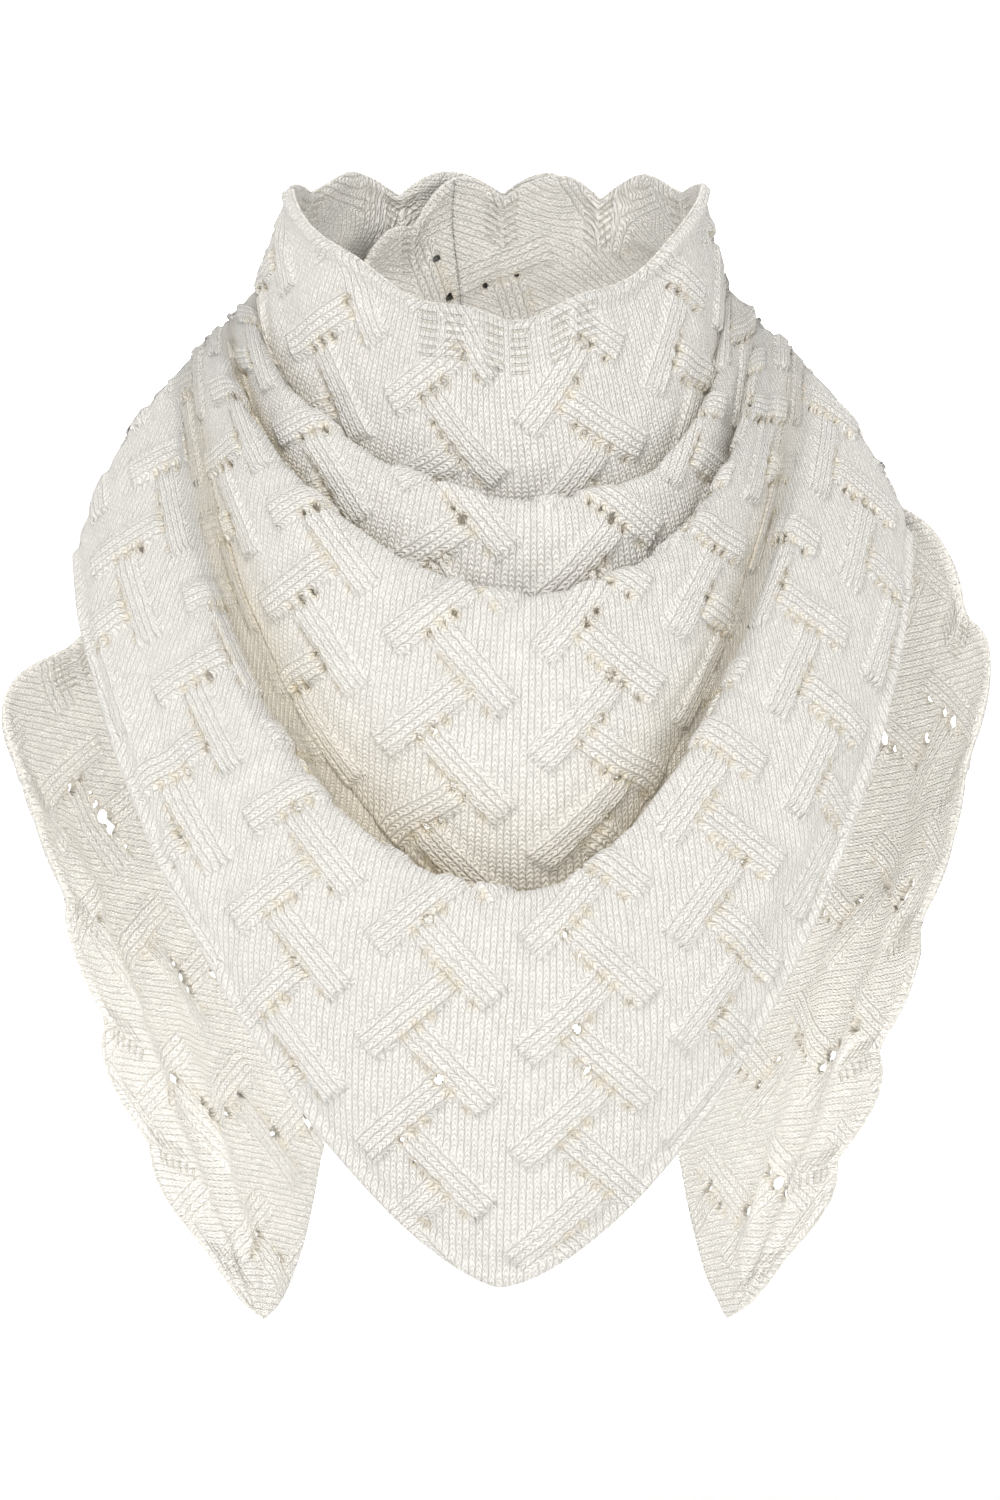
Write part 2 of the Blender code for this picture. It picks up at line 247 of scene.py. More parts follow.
def even_cells(fine: np.ndarray, steps: np.ndarray, cell: float) -> np.ndarray:
    """Places that are about a cell apart.

    Args:
        fine: many places.
        steps: how long the form is between one of them and the next, in mm.
        cell: the wanted length, in mm.

    Returns:
        The places, with the first and the last of the given ones.
    """
    reach = np.concatenate([[0.0], np.cumsum(steps)])
    return np.interp(np.linspace(0, reach[-1], int(reach[-1] / cell) + 1), reach, fine)


def chance_at(m: np.ndarray, n: np.ndarray, number: int) -> np.ndarray:
    """A share from 0 to 1 that looks random and is always the same for the same three numbers."""
    mixed = np.sin(m * 12.99 + n * 78.23 + number * 37.7) * 43758.5
    return mixed - np.floor(mixed)


@dataclass(frozen=True)
class FrontForm:
    """The cloth that hangs across the front, through a list of swag rows."""

    rows: Sequence[Swag]

    @property
    def last(self) -> float:
        """The last place down the rows."""
        return len(self.rows) - 1.0

    def points(self, places: np.ndarray, across: np.ndarray) -> np.ndarray:
        """Points of the form.

        Args:
            places: places down the rows.
            across: places from shoulder to shoulder.

        Returns:
            An array of places by across by 3.
        """
        return smooth_through(np.stack([row.curve(across) for row in self.rows]), places)


@dataclass(frozen=True)
class BandForm:
    """A wrap: from a shoulder round the nape and down behind the other shoulder."""

    stations: Sequence[Station]
    side: int
    scallop_height: float = 11.0
    scallop_rest: float = 0.6
    scallop_depth: float = 0.3
    gather_waves: int = 3
    gather_height: float = 2.5
    lean: float = 2 / 13

    @property
    def last(self) -> float:
        """The last place along the wrap, at its tip."""
        return float(len(self.stations))

    def shoulder(self, depths: np.ndarray) -> np.ndarray:
        """Points down the shoulder line at shares of its length."""
        line = np.concatenate([row.curve(np.array([float(self.side)]))
                               for row in COLLAR_ROWS + COWL_ROWS + BIB_ROWS])
        reach = reach_along(line)
        wanted = depths * reach[-1]
        points = np.stack([np.interp(wanted, reach, line[:, axis]) for axis in range(3)], axis=-1)
        return points + np.array([0.0, SEAM_GAP, 0.0])

    def loft(self, places: np.ndarray, depths: np.ndarray) -> np.ndarray:
        """The wrap without its scallops and gathers."""
        first = self.shoulder(depths)
        lines = [station.curve(depths) for station in self.stations]
        mirrored = lines[0].copy()
        mirrored[:, 1] = 2 * first[:, 1] - lines[0][:, 1]
        return smooth_through(np.stack([mirrored, first] + lines), places + 1)

    def points(self, places: np.ndarray, depths: np.ndarray) -> np.ndarray:
        """Points of the wrap.

        Args:
            places: places along the wrap, one for each scallop.
            depths: shares from the scalloped edge to the plain edge.

        Returns:
            An array of places by depths by 3.
        """
        loft = self.loft(places, depths)
        ends = self.loft(places, np.array([0.0, self.lean]))
        upward = unit(ends[:, 0] - ends[:, 1])[:, None]
        place, depth = places[:, None], depths[None, :]
        settled = np.minimum(place, 1.0) * np.minimum((self.last - place) / 2, 1.0)
        fade = np.maximum(1.0 - depth / self.scallop_depth, 0.0) ** 2
        rise = self.scallop_height * (np.abs(np.cos(np.pi * place)) - self.scallop_rest) * fade
        outward = unit(loft * np.array([1.0, 1.0, 0.0]))
        wave = np.sin(2 * np.pi * self.gather_waves * depth) * np.sin(np.pi * depth)
        return (loft + upward * (rise * settled)[..., None]
                + outward * (wave * self.gather_height * settled)[..., None])


@dataclass
class Chart:
    """Flat cloth coordinates for a form, found by letting a net of springs come to rest.

    The net has the form's own lengths along rows, columns and diagonals, so the knit is as little
    stretched as the form allows.
    """

    form: FrontForm | BandForm
    places: np.ndarray
    others: np.ndarray
    guess: np.ndarray
    held: np.ndarray
    hold: float = 3.0
    steadiness: float = 0.03
    slack: float = 0.02
    rounds: int = 14
    fine: int = 4
    flat: np.ndarray = field(init=False)

    def __post_init__(self) -> None:
        """Lay the net flat."""
        first, second, lengths = self.springs()
        flat = self.guess.reshape(-1, 2).copy()
        target = flat.copy()
        weight = np.where(self.held.reshape(-1), self.hold, self.steadiness)
        count = len(flat)
        for _ in range(self.rounds):
            gap = flat[first] - flat[second]
            reach = np.maximum(np.linalg.norm(gap, axis=1), 1e-6)
            line = gap / reach[:, None]
            pull = reach - lengths
            matrix = np.zeros((count, 2, count, 2))
            right = np.zeros((count, 2))
            outer = line[:, :, None] * line[:, None, :] + self.slack * np.eye(2)
            for ends, other in ((first, second), (second, first)):
                np.add.at(matrix, (ends[:, None, None], np.arange(2)[None, :, None], ends[:, None, None],
                                   np.arange(2)[None, None, :]), outer)
                np.add.at(matrix, (ends[:, None, None], np.arange(2)[None, :, None], other[:, None, None],
                                   np.arange(2)[None, None, :]), -outer)
            np.add.at(right, first, -line * pull[:, None])
            np.add.at(right, second, line * pull[:, None])
            index = np.arange(count)
            for axis in range(2):
                matrix[index, axis, index, axis] += weight
            right += weight[:, None] * (target - flat)
            square = matrix.reshape(2 * count, 2 * count)
            flat += np.linalg.solve(square, right.reshape(-1)).reshape(-1, 2)
        self.flat = flat.reshape(self.guess.shape)
        left = np.abs(np.linalg.norm(flat[first] - flat[second], axis=1) / lengths - 1.0)
        LOG.info("chart of %d points: lengths off by %.1f%% on average", count, 100 * left.mean())

    def springs(self) -> tuple[np.ndarray, np.ndarray, np.ndarray]:
        """The net's springs.

        Returns:
            Two ends and the length on the form, for each spring.
        """
        part = np.arange(self.fine) / self.fine
        places = np.append((self.places[:-1, None] + np.diff(self.places)[:, None] * part).ravel(),
                           self.places[-1])
        others = np.append((self.others[:-1, None] + np.diff(self.others)[:, None] * part).ravel(),
                           self.others[-1])
        points = self.form.points(places, others)
        rows, columns, step = len(self.places), len(self.others), self.fine
        index = np.arange(rows * columns).reshape(rows, columns)
        found = []
        for down, along in ((0, 1), (1, 0), (1, 1), (1, -1)):
            row = np.arange(rows - down)
            column = np.arange(max(-along, 0), columns - max(along, 0))
            length = np.zeros((len(row), len(column)))
            for k in range(step):
                here = points[np.ix_(row * step + k * down, column * step + k * along)]
                there = points[np.ix_(row * step + (k + 1) * down, column * step + (k + 1) * along)]
                length += np.linalg.norm(there - here, axis=-1)
            start = index[np.ix_(row, column)].ravel()
            end = index[np.ix_(row + down, column + along)].ravel()
            found.append((start, end, length.ravel()))
        return tuple(np.concatenate(parts) for parts in zip(*found))

    def at(self, places: np.ndarray, others: np.ndarray) -> np.ndarray:
        """Flat coordinates on a grid of places.

        Args:
            places: places in the first direction.
            others: places in the second direction.

        Returns:
            An array of places by others by 2, in mm.
        """
        rows = smooth_through(self.flat, np.interp(places, self.places, np.arange(len(self.places))))
        turned = np.swapaxes(rows, 0, 1)
        columns = smooth_through(turned, np.interp(others, self.others, np.arange(len(self.others))))
        return np.swapaxes(columns, 0, 1)


@dataclass(frozen=True)
class Eyelet:
    """One eyelet of the motif: its place in brick steps and its half sizes in mm."""

    a: float
    b: float
    half_a: float
    half_b: float


@dataclass(frozen=True)
class Motif:
    """The lattice of herringbone bricks, each with a raised band of ribs on its lower long side.

    Steps a run down to the right and steps b up to the right. A falling brick is a long and b wide; a
    rising one is the other way round and starts where the falling one ends.
    """

    step_a: tuple[float, float] = (22.8, -21.9)
    step_b: tuple[float, float] = (22.7, 21.8)
    step_length: float = 31.5
    brick: float = 1.4
    rib_share: float = 0.45
    rib_rise: float = 2.25
    rib_wale: float = 3.4
    rib_course: float = 2.5
    wale: float = 2.8
    course: float = 2.2
    puff: float = 0.9
    rib_foot: tuple[float, float] = (-0.02, 0.05)
    rib_crest: tuple[float, float] = (-0.06, 0.09)
    rib_end: float = 0.12
    rib_end_rise: float = 0.55
    missed_up: float = 0.7
    smallest: float = 0.82
    size_spread: float = 0.36
    least_reach: float = 0.2
    eyelets: tuple[Eyelet, ...] = (
        Eyelet(-0.01, 0.08, 1.5, 1.2), Eyelet(-0.01, 0.30, 2.2, 1.8), Eyelet(-0.01, 0.51, 1.8, 1.4),
        Eyelet(0.90, 2.41, 1.2, 1.5), Eyelet(1.11, 2.41, 1.8, 2.2), Eyelet(1.32, 2.41, 1.4, 1.7),
        Eyelet(0.24, 1.0, 1.1, 0.9), Eyelet(0.72, 2.41, 0.9, 1.2),
    )

    def steps(self, flat: np.ndarray) -> np.ndarray:
        """Flat cloth coordinates as steps a and b."""
        return flat @ np.linalg.inv(np.array([self.step_a, self.step_b]))

    def flat_from(self, steps: np.ndarray) -> np.ndarray:
        """Steps a and b as flat cloth coordinates."""
        return steps @ np.array([self.step_a, self.step_b])

    def bricks(self, steps: np.ndarray) -> tuple[np.ndarray, np.ndarray, np.ndarray]:
        """Where points lie in their bricks.

        Args:
            steps: steps a and b.

        Returns:
            Whether the brick rises, the place along it and the place up from its lower long side.
        """
        a, b = steps[..., 0], steps[..., 1]
        long = self.brick
        base_m, base_n = np.floor((a + b) / (2 * long)), np.floor((a - b) / 2)
        rises, along, up = np.zeros(a.shape, bool), np.zeros(a.shape), np.full(a.shape, self.missed_up)
        found = np.zeros(a.shape, bool)
        for m in (-1, 0, 1):
            for n in (-1, 0, 1, 2):
                local_a = a - (base_m + m) * long - (base_n + n)
                local_b = b - (base_m + m) * long + (base_n + n)
                falls_here = (local_a >= 0) & (local_a < long) & (local_b >= 0) & (local_b < 1) & ~found
                along, up = np.where(falls_here, local_a, along), np.where(falls_here, local_b, up)
                found |= falls_here
                rises_here = ((local_a >= long - 1) & (local_a < long) & (local_b >= 1)
                              & (local_b < 1 + long) & ~found)
                along = np.where(rises_here, 1 + long - local_b, along)
                up = np.where(rises_here, long - local_a, up)
                rises |= rises_here
                found |= rises_here
        return rises, along, up

    def relief(self, steps: np.ndarray) -> np.ndarray:
        """How far the knit stands out, in mm."""
        _, along, up = self.bricks(steps)
        end = soft_step(0.0, self.rib_end, along)
        low, high = (self.rib_share + part for part in self.rib_crest)
        rib = soft_step(*self.rib_foot, up) * (1 - soft_step(low, high, up))
        inside = np.clip((up - self.rib_share) / (1 - self.rib_share), 0, 1)
        puff = np.sin(np.pi * inside) * np.sin(np.pi * np.clip(along / self.brick, 0, 1))
        rib_rise = self.rib_rise * (self.rib_end_rise + (1 - self.rib_end_rise) * end)
        return rib_rise * rib + self.puff * puff

    def stitches(self, flat: np.ndarray, centres: np.ndarray) -> tuple[np.ndarray, np.ndarray]:
        """Wale and course coordinates.

        Args:
            flat: flat cloth coordinates of face corners.
            centres: steps a and b of the faces' centres, which say whose ribs they are.

        Returns:
            Coordinates in wales and courses, and whether a corner is on a rib band.
        """
        steps = self.steps(flat) * self.step_length
        rises, _, up = self.bricks(centres)
        ribs, rises = (up < self.rib_share)[:, None], rises[:, None]
        wales = np.where(ribs, np.where(rises, steps[..., 0], steps[..., 1]) / self.rib_wale,
                         flat[..., 0] / self.wale)
        courses = np.where(ribs, np.where(rises, steps[..., 1], -steps[..., 0]) / self.rib_course,
                           flat[..., 1] / self.course)
        return np.stack([wales, courses], axis=-1), np.broadcast_to(ribs, wales.shape)

    def eyelet_gap(self, steps: np.ndarray, stretch: float,
                   closed: float) -> tuple[np.ndarray, np.ndarray, np.ndarray]:
        """The nearest eyelet of each point.

        Args:
            steps: steps a and b.
            stretch: how much larger the eyelets are pulled open.
            closed: the share of the eyelets that the wool has closed.

        Returns:
            The distance to its rim, in mm and negative inside, the way to the rim in steps, and whether
            it is open.
        """
        a, b = steps[..., 0], steps[..., 1]
        long = self.brick
        best = np.full(a.shape, FAR)
        way, is_open = np.zeros(steps.shape), np.zeros(a.shape, bool)
        for number, eyelet in enumerate(self.eyelets):
            gap_a, gap_b = a - eyelet.a, b - eyelet.b
            m, n = np.round((gap_a + gap_b) / (2 * long)), np.round((gap_a - gap_b) / 2)
            gap_a, gap_b = gap_a - m * long - n, gap_b - m * long + n
            chance = chance_at(m, n, number)
            size = stretch * (self.smallest + self.size_spread * chance)
            reach = np.hypot(gap_a * self.step_length / (eyelet.half_a * size),
                             gap_b * self.step_length / (eyelet.half_b * size))
            gap = (reach - 1) * min(eyelet.half_a, eyelet.half_b) * size
            nearer = gap < best
            best = np.where(nearer, gap, best)
            is_open = np.where(nearer, chance >= closed, is_open)
            share = 1 / np.maximum(reach, self.least_reach) - 1
            way = np.where(nearer[..., None], np.stack([gap_a * share, gap_b * share], axis=-1), way)
        return best, way, is_open


@dataclass(frozen=True)
class Crease:
    """A soft trough or ridge of the cloth along a line, seen from the front or the back (x, z)."""

    name: str
    part: Part
    line: tuple[tuple[float, float], ...]
    width: float
    rise: float
    end_shape: float = 0.6

    def lift(self, points: np.ndarray) -> np.ndarray:
        """How far the crease moves points out, in mm."""
        flat = points[..., [0, 2]]
        line = np.array(self.line, float)
        best = np.full(flat.shape[:-1], np.inf)
        place = np.zeros(flat.shape[:-1])
        for index, (start, end) in enumerate(zip(line, line[1:])):
            way = end - start
            share = np.clip(((flat - start) @ way) / (way @ way), 0, 1)
            gap = np.linalg.norm(flat - (start + share[..., None] * way), axis=-1)
            nearer = gap < best
            best, place = np.where(nearer, gap, best), np.where(nearer, index + share, place)
        ends = np.clip(np.sin(np.pi * place / (len(line) - 1)), 0, 1) ** self.end_shape
        return self.rise * ends * bump_at(best, 0.0, self.width)


# Painted warm shade in the pockets behind the rims: places down the rows and amounts from 0 to 1.
POCKET_SHADE = {
    Part.COLLAR: ((0, 0.0), (2.3, 0.0), (3, 0.35)),
    Part.COWL: ((0, 0.4), (2, 0.4), (3, 0.0), (5.1, 0.0), (6, 0.85), (8, 0.85), (9, 0.0), (11.6, 0.0),
                (12.5, 0.3), (13, 0.6)),
    Part.BIB: ((0, 0.6), (2, 0.6), (3, 0.0), (8, 0.0)),
}


@dataclass(frozen=True)
class Border:
    """The edges of a stretch and how its knit ends there, in mm."""

    top: bool = False
    hem: bool = False
    tip: bool = False
    lace_depth: float = 0.0
    lace_blend: tuple[float, float] = (-4.0, 2.0)
    plain_band: tuple[float, float] = (5.0, 9.0)
    roll_width: float = 2.6
    roll_rise: float = 0.9
    groove_place: float = 3.2
    groove_depth: float = 0.5
    thin_share: float = 0.3
    thin_reach: float = 3.2
    sway: float = 0.0
    sway_length: float = 46.0
    sway_depth: float = 25.0
    sway_middle: float = -2.0
    least_fan: float = 10.0
    fan_fade: tuple[float, float] = (-6.0, 4.0)
    fan: tuple[tuple[float, float, float], ...] = ((0.9, 0.0, 1.6), (-0.5, 5.0, 3.0), (0.5, 18.0, 7.0))


@dataclass(frozen=True)
class Waves:
    """Slow soft waves, as handled cloth has, with heights and lengths in mm."""

    broad_height: float = 0.5
    broad_length: float = 23.0
    bend: float = 1.7
    bend_length: float = 41.0
    cross_length: float = 29.0
    cross_start: float = 0.8
    slant_height: float = 0.35
    slant_length: float = 11.0
    slant_drop: float = 17.0
    slant_start: float = 0.5

    def lift(self, flat: np.ndarray) -> np.ndarray:
        """How far the waves move points of the flat cloth out."""
        u, v = flat[..., 0], flat[..., 1]
        broad = np.sin(u / self.broad_length + self.bend * np.sin(v / self.bend_length))
        cross = np.sin(v / self.cross_length + self.cross_start)
        slant = np.sin(u / self.slant_length - v / self.slant_drop + self.slant_start)
        return self.broad_height * broad * cross + self.slant_height * slant


@dataclass(frozen=True)
class Finish:
    """How a stretch is knitted.

    The cell is the distance of its points in mm, closed is the share of its eyelets that the wool has
    closed, and the shares say how much of the relief shows on the outer and the inner side.
    """

    cell: tuple[float, float]
    border: Border
    eyelet_stretch: float = 1.0
    closed: float = 0.35
    # How much painted shade the crater round each eyelet gets, open or closed.
    hole_shade: float = 0.55
    outer_share: float = 1.0
    inner_share: float = 0.45


WRAP_FINISH = Finish((2.1, 2.1), Border(top=True, hem=True, lace_depth=27.0), closed=0.6,
                     hole_shade=0.35, outer_share=0.7, inner_share=-0.6)
END_FINISH = Finish((1.75, 1.75), Border(top=True, hem=True, tip=True, lace_depth=27.0),
                    eyelet_stretch=1.45, closed=0.3, hole_shade=0.35, outer_share=0.7, inner_share=-0.6)
FINISHES = {
    Part.COLLAR: Finish((1.45, 1.45), Border(top=True, lace_depth=16.0, roll_width=2.8, roll_rise=2.0,
                                             sway=1.8)),
    Part.COWL: Finish((1.72, 2.25), Border()),
    Part.BIB: Finish((1.95, 1.82), Border(hem=True, roll_rise=1.6, groove_depth=0.9), closed=0.84),
    Part.LEFT_WRAP: WRAP_FINISH,
    Part.RIGHT_WRAP: WRAP_FINISH,
    Part.RIGHT_END: END_FINISH,
    Part.LEFT_END: END_FINISH,
}


@dataclass
class Stretch:
    """One stretch of cloth: a closed knitted shell on its solid's form."""

    part: Part
    form: FrontForm | BandForm
    chart: Chart
    chart_start: float
    places: np.ndarray
    others: np.ndarray
    motif: Motif
    anchor: np.ndarray
    flip: bool = False
    across_front: bool = True
    before: np.ndarray | None = None
    after: np.ndarray | None = None
    wall: float = 2.1
    scallop_pitch: float = 60.0
    crater: float = 1.1
    crater_reach: float = 1.2
    plain_rise: float = 0.5
    lace_limit: float = 0.6
    facing: float = 0.5
    rim_reach: float = 0.62
    rim_limit: float = 0.8
    ladder_middle: float = 3.0
    ladder_reach: float = 1.6
    # How much less painted shade the right side gets, where more light falls, and how fast the painted
    # shade fades out towards the shoulders.
    lit_side: float = 0.45
    shade_end: int = 6
    waves: Waves = Waves()
    finish: Finish = field(init=False)
    border: Border = field(init=False)
    creases: list[Crease] = field(init=False)
    base: np.ndarray = field(init=False)
    normals: np.ndarray = field(init=False)
    flat: np.ndarray = field(init=False)

    def __post_init__(self) -> None:
        """Work out the smooth cloth and its flat coordinates."""
        self.finish = FINISHES[self.part]
        self.border = border = self.finish.border
        self.creases = [crease for crease in CREASES if crease.part is self.part]
        self.base = self.form.points(self.places, self.others)
        if border.sway:
            fade = 1 - soft_step(0.0, border.sway_depth, self.edge_distances()["top"])
            turn = 2 * np.pi * (self.base[..., 0] - border.sway_middle) / border.sway_length
            self.base[..., 2] -= border.sway * np.sin(turn) * fade
        self.normals = self.outward()
        self.flat = self.chart.at(self.places + self.chart_start, self.others) - self.anchor

    def outward(self) -> np.ndarray:
        """Unit normals, the same on both sides of a seam."""
        down, along = np.gradient(self.base, axis=0), np.gradient(self.base, axis=1)
        if self.before is not None:
            down[0] = self.base[1] - self.before
        if self.after is not None:
            down[-1] = self.after - self.base[-2]
        if self.across_front:
            along[:, 0], along[:, -1] = (0.0, -1.0, 0.0), (0.0, 1.0, 0.0)
        return unit(np.cross(down, along)) * (-1 if self.flip else 1)

    def edge_distances(self) -> dict[str, np.ndarray]:
        """How far each point is from the stretch's real edges, in mm along the cloth."""
        far = np.full(self.base.shape[:2], NO_EDGE)
        found = {"top": far, "hem": far, "tip": far}
        axis = 0 if self.across_front else 1
        reach = reach_across(self.base, axis)
        if self.border.top:
            found["top"] = reach
        if self.border.hem:
            found["hem"] = (reach[-1:] if axis == 0 else reach[:, -1:]) - reach
        if self.border.tip:
            along = reach_across(self.base, 0)
            found["tip"] = along[-1:] - along
        return found

    def knit(self) -> bpy.types.Object:
        """Make the stretch's mesh.

        Returns:
            The object, with its stitch and border coordinates as UV maps.
        """
        edges = self.edge_distances()
        edge = np.minimum(np.minimum(edges["top"], edges["hem"]), edges["tip"])
        steps = self.motif.steps(self.flat)
        border, finish = self.border, self.finish
        low, high = (border.lace_depth + part for part in border.lace_blend)
        plain = soft_step(*border.plain_band, np.minimum(edges["hem"], edges["tip"]))
        motif = soft_step(low, high, edges["top"]) * plain
        rise = self.motif.relief(steps) * motif + self.plain_rise * (1 - motif)
        rise += self.waves.lift(self.flat)
        facing = soft_step(0.0, self.facing, -self.normals[..., 1]) if self.across_front else 1.0
        rise += facing * sum(crease.lift(self.base) for crease in self.creases)
        rise += border.roll_rise * bump_at(edge, border.roll_width, border.roll_width)
        rise -= border.groove_depth * bump_at(edge, border.groove_place * border.roll_width,
                                              border.roll_width)
        rise += self.border_relief(edges["top"])
        gap, way, is_open = self.motif.eyelet_gap(steps, finish.eyelet_stretch, finish.closed)
        gap = np.where(motif > self.lace_limit, gap, FAR)
        hole = bump_at(np.maximum(gap, 0), 0.0, self.crater_reach)
        gap = np.where(is_open, gap, FAR)
        rise -= self.crater * hole
        taper = border.thin_share + (1 - border.thin_share) * soft_step(0.0, border.thin_reach, edge)
        thick = self.wall * taper
        moved, flat = self.pulled_to_rims(gap, way, steps)
        ease = 0.5 * self.wall * (1 - taper)
        outer = moved + self.normals * (finish.outer_share * rise - ease)[..., None]
        inner = moved + self.normals * (finish.inner_share * rise - ease - thick)[..., None]
        # Painted shade: the craters round the eyelets, open and closed, and the pockets behind the rims.
        hollow = np.clip(finish.hole_shade * hole + self.shade(), 0, 1)
        return self.shell(outer, inner, flat, edges["top"], hollow, self.kept_cells(gap))

    def shade(self) -> np.ndarray:
        """How much painted warm shade the cloth gets where light reaches it only from other cloth, from 0
        to 1.
        """
        table = POCKET_SHADE.get(self.part)
        if table is None:
            return np.zeros(self.base.shape[:2])
        places, amounts = zip(*table)
        down = np.interp(self.places, places, amounts)[:, None]
        across = np.abs(self.others)[None, :]
        # Less painted shade on the right, which is better lit, and none at the shoulders.
        dimmed = 1 - self.lit_side * soft_step(0.0, 1.0, self.others[None, :])
        return down * dimmed * (1 - across ** self.shade_end)

    def border_relief(self, top: np.ndarray) -> np.ndarray:
        """Soft fans of the scalloped border: a valley down each trough and a swell in each scallop."""
        border = self.border
        if not border.top or border.lace_depth < border.least_fan:
            return np.zeros(top.shape)
        low, high = (border.lace_depth + part for part in border.fan_fade)
        spine = self.spine()
        fans = sum(height * bump_at(spine, place, width) for height, place, width in border.fan)
        return (1 - soft_step(low, high, top)) * fans

    def spine(self) -> np.ndarray:
        """The distance to the nearest trough of the scallops, in mm."""
        if self.across_front:
            x = self.base[..., 0] - self.ladder_middle
            near = np.abs(x - np.round(x / LADDER_PITCH) * LADDER_PITCH)
            return np.where(np.abs(x) < self.ladder_reach * LADDER_PITCH, near, FAR)
        place = np.broadcast_to(self.places[:, None] - 0.5, self.base.shape[:2])
        return np.abs(place - np.round(place)) * self.scallop_pitch

    def pulled_to_rims(self, gap: np.ndarray, way: np.ndarray,
                       steps: np.ndarray) -> tuple[np.ndarray, np.ndarray]:
        """Move the points beside an eyelet onto its rim, so that it is round.

        Returns:
            The points and their flat coordinates.
        """
        down, along = np.gradient(self.base, axis=0), np.gradient(self.base, axis=1)
        step_down, step_along = np.gradient(steps, axis=0), np.gradient(steps, axis=1)
        turn = step_down[..., 0] * step_along[..., 1] - step_down[..., 1] * step_along[..., 0]
        turn = np.where(np.abs(turn) < 1e-7, 1e-7, turn)
        part_down = (way[..., 0] * step_along[..., 1] - way[..., 1] * step_along[..., 0]) / turn
        part_along = (step_down[..., 0] * way[..., 1] - step_down[..., 1] * way[..., 0]) / turn
        cell = np.minimum(np.linalg.norm(down, axis=-1), np.linalg.norm(along, axis=-1))
        near = (np.abs(gap) < self.rim_reach * cell) & (np.abs(part_down) < self.rim_limit)
        near &= np.abs(part_along) < self.rim_limit
        near[0], near[-1], near[:, 0], near[:, -1] = False, False, False, False
        part_down, part_along = part_down * near, part_along * near
        points = self.base + down * part_down[..., None] + along * part_along[..., None]
        return points, self.flat + self.motif.flat_from(way) * near[..., None]

    def kept_cells(self, gap: np.ndarray) -> np.ndarray:
        """Whether each cell is cloth, and not inside an eyelet."""
        centre = (gap[:-1, :-1] + gap[1:, :-1] + gap[:-1, 1:] + gap[1:, 1:]) / 4
        kept = centre > 0
        kept[:2], kept[-2:], kept[:, :2], kept[:, -2:] = True, True, True, True
        return kept

    def shell(self, outer: np.ndarray, inner: np.ndarray, flat: np.ndarray, top: np.ndarray,
              hollow: np.ndarray, kept: np.ndarray) -> bpy.types.Object:
        """Join both layers into one closed mesh.

        Returns:
            The object.
        """
        rows, columns = self.base.shape[:2]
        index = np.arange(rows * columns).reshape(rows, columns)
        quads = np.stack([index[:-1, :-1], index[1:, :-1], index[1:, 1:], index[:-1, 1:]], axis=-1)[kept]
        if self.flip:
            quads = quads[:, ::-1]
        count = rows * columns
        starts, ends = quads.ravel(), np.roll(quads, -1, axis=1).ravel()
        forward, backward = starts * count + ends, ends * count + starts
        rim = ~np.isin(forward, backward)
        starts, ends = starts[rim], ends[rim]
        sides = np.stack([ends, starts, starts + count, ends + count], axis=-1)
        faces = np.concatenate([quads, quads[:, ::-1] + count, sides])
        used, compact = np.unique(faces, return_inverse=True)
        faces = compact.reshape(faces.shape)
        points = np.concatenate([outer.reshape(-1, 3), inner.reshape(-1, 3)])[used] * MM
        flats = np.concatenate([flat.reshape(-1, 2)] * 2)[used]
        borders = np.concatenate([np.stack([self.spine(), top], axis=-1).reshape(-1, 2)] * 2)[used]
        corners = faces.ravel()
        corner_flats = flats[corners].reshape(-1, 4, 2)
        stitches, ribs = self.motif.stitches(corner_flats, self.motif.steps(corner_flats.mean(axis=1)))
        seam = self.seam_faces(starts, ends, rows, columns)
        sharp = np.concatenate([np.zeros(2 * len(quads), bool), seam])
        data = bpy.data.meshes.new(self.part.value)
        data.vertices.add(len(points))
        data.vertices.foreach_set("co", points.astype(np.float32).ravel())
        data.loops.add(len(corners))
        data.loops.foreach_set("vertex_index", corners.astype(np.int32))
        data.polygons.add(len(faces))
        data.polygons.foreach_set("loop_start", np.arange(0, len(corners), 4, dtype=np.int32))
        data.update(calc_edges=True)
        data.attributes.new("sharp_face", "BOOLEAN", "FACE").data.foreach_set("value", sharp)
        # The painted shade of the pockets and the eyelet craters, which the material turns into a warm
        # colour.
        hollows = np.concatenate([hollow.ravel()] * 2)[used].astype(np.float32)
        data.attributes.new("hollow", "FLOAT", "POINT").data.foreach_set("value", hollows)
        data.attributes.new("ribs", "FLOAT", "CORNER").data.foreach_set(
            "value", ribs.astype(np.float32).ravel())
        for name, values in (("stitches", stitches.reshape(-1, 2)), ("border", borders[corners])):
            layer = data.uv_layers.new(name=name)
            layer.uv.foreach_set("vector", values.astype(np.float32).ravel())
        data.validate()
        thing = bpy.data.objects.new("cloth_" + self.part.value, data)
        bpy.context.scene.collection.objects.link(thing)
        LOG.info("%s: %d faces, %d rim edges", thing.name, len(faces), len(starts))
        return thing

    def seam_faces(self, starts: np.ndarray, ends: np.ndarray, rows: int, columns: int) -> np.ndarray:
        """Which side faces lie on a seam to the next stretch, and not on an edge or an eyelet."""
        row, column = starts // columns, starts % columns
        end_row, end_column = ends // columns, ends % columns
        first = (row == 0) & (end_row == 0)
        last = (row == rows - 1) & (end_row == rows - 1)
        sides = (column == end_column) & ((column == 0) | (column == columns - 1))
        if self.across_front:
            return (first & (not self.border.top)) | (last & (not self.border.hem)) | sides
        return first | (last & (not self.border.tip))

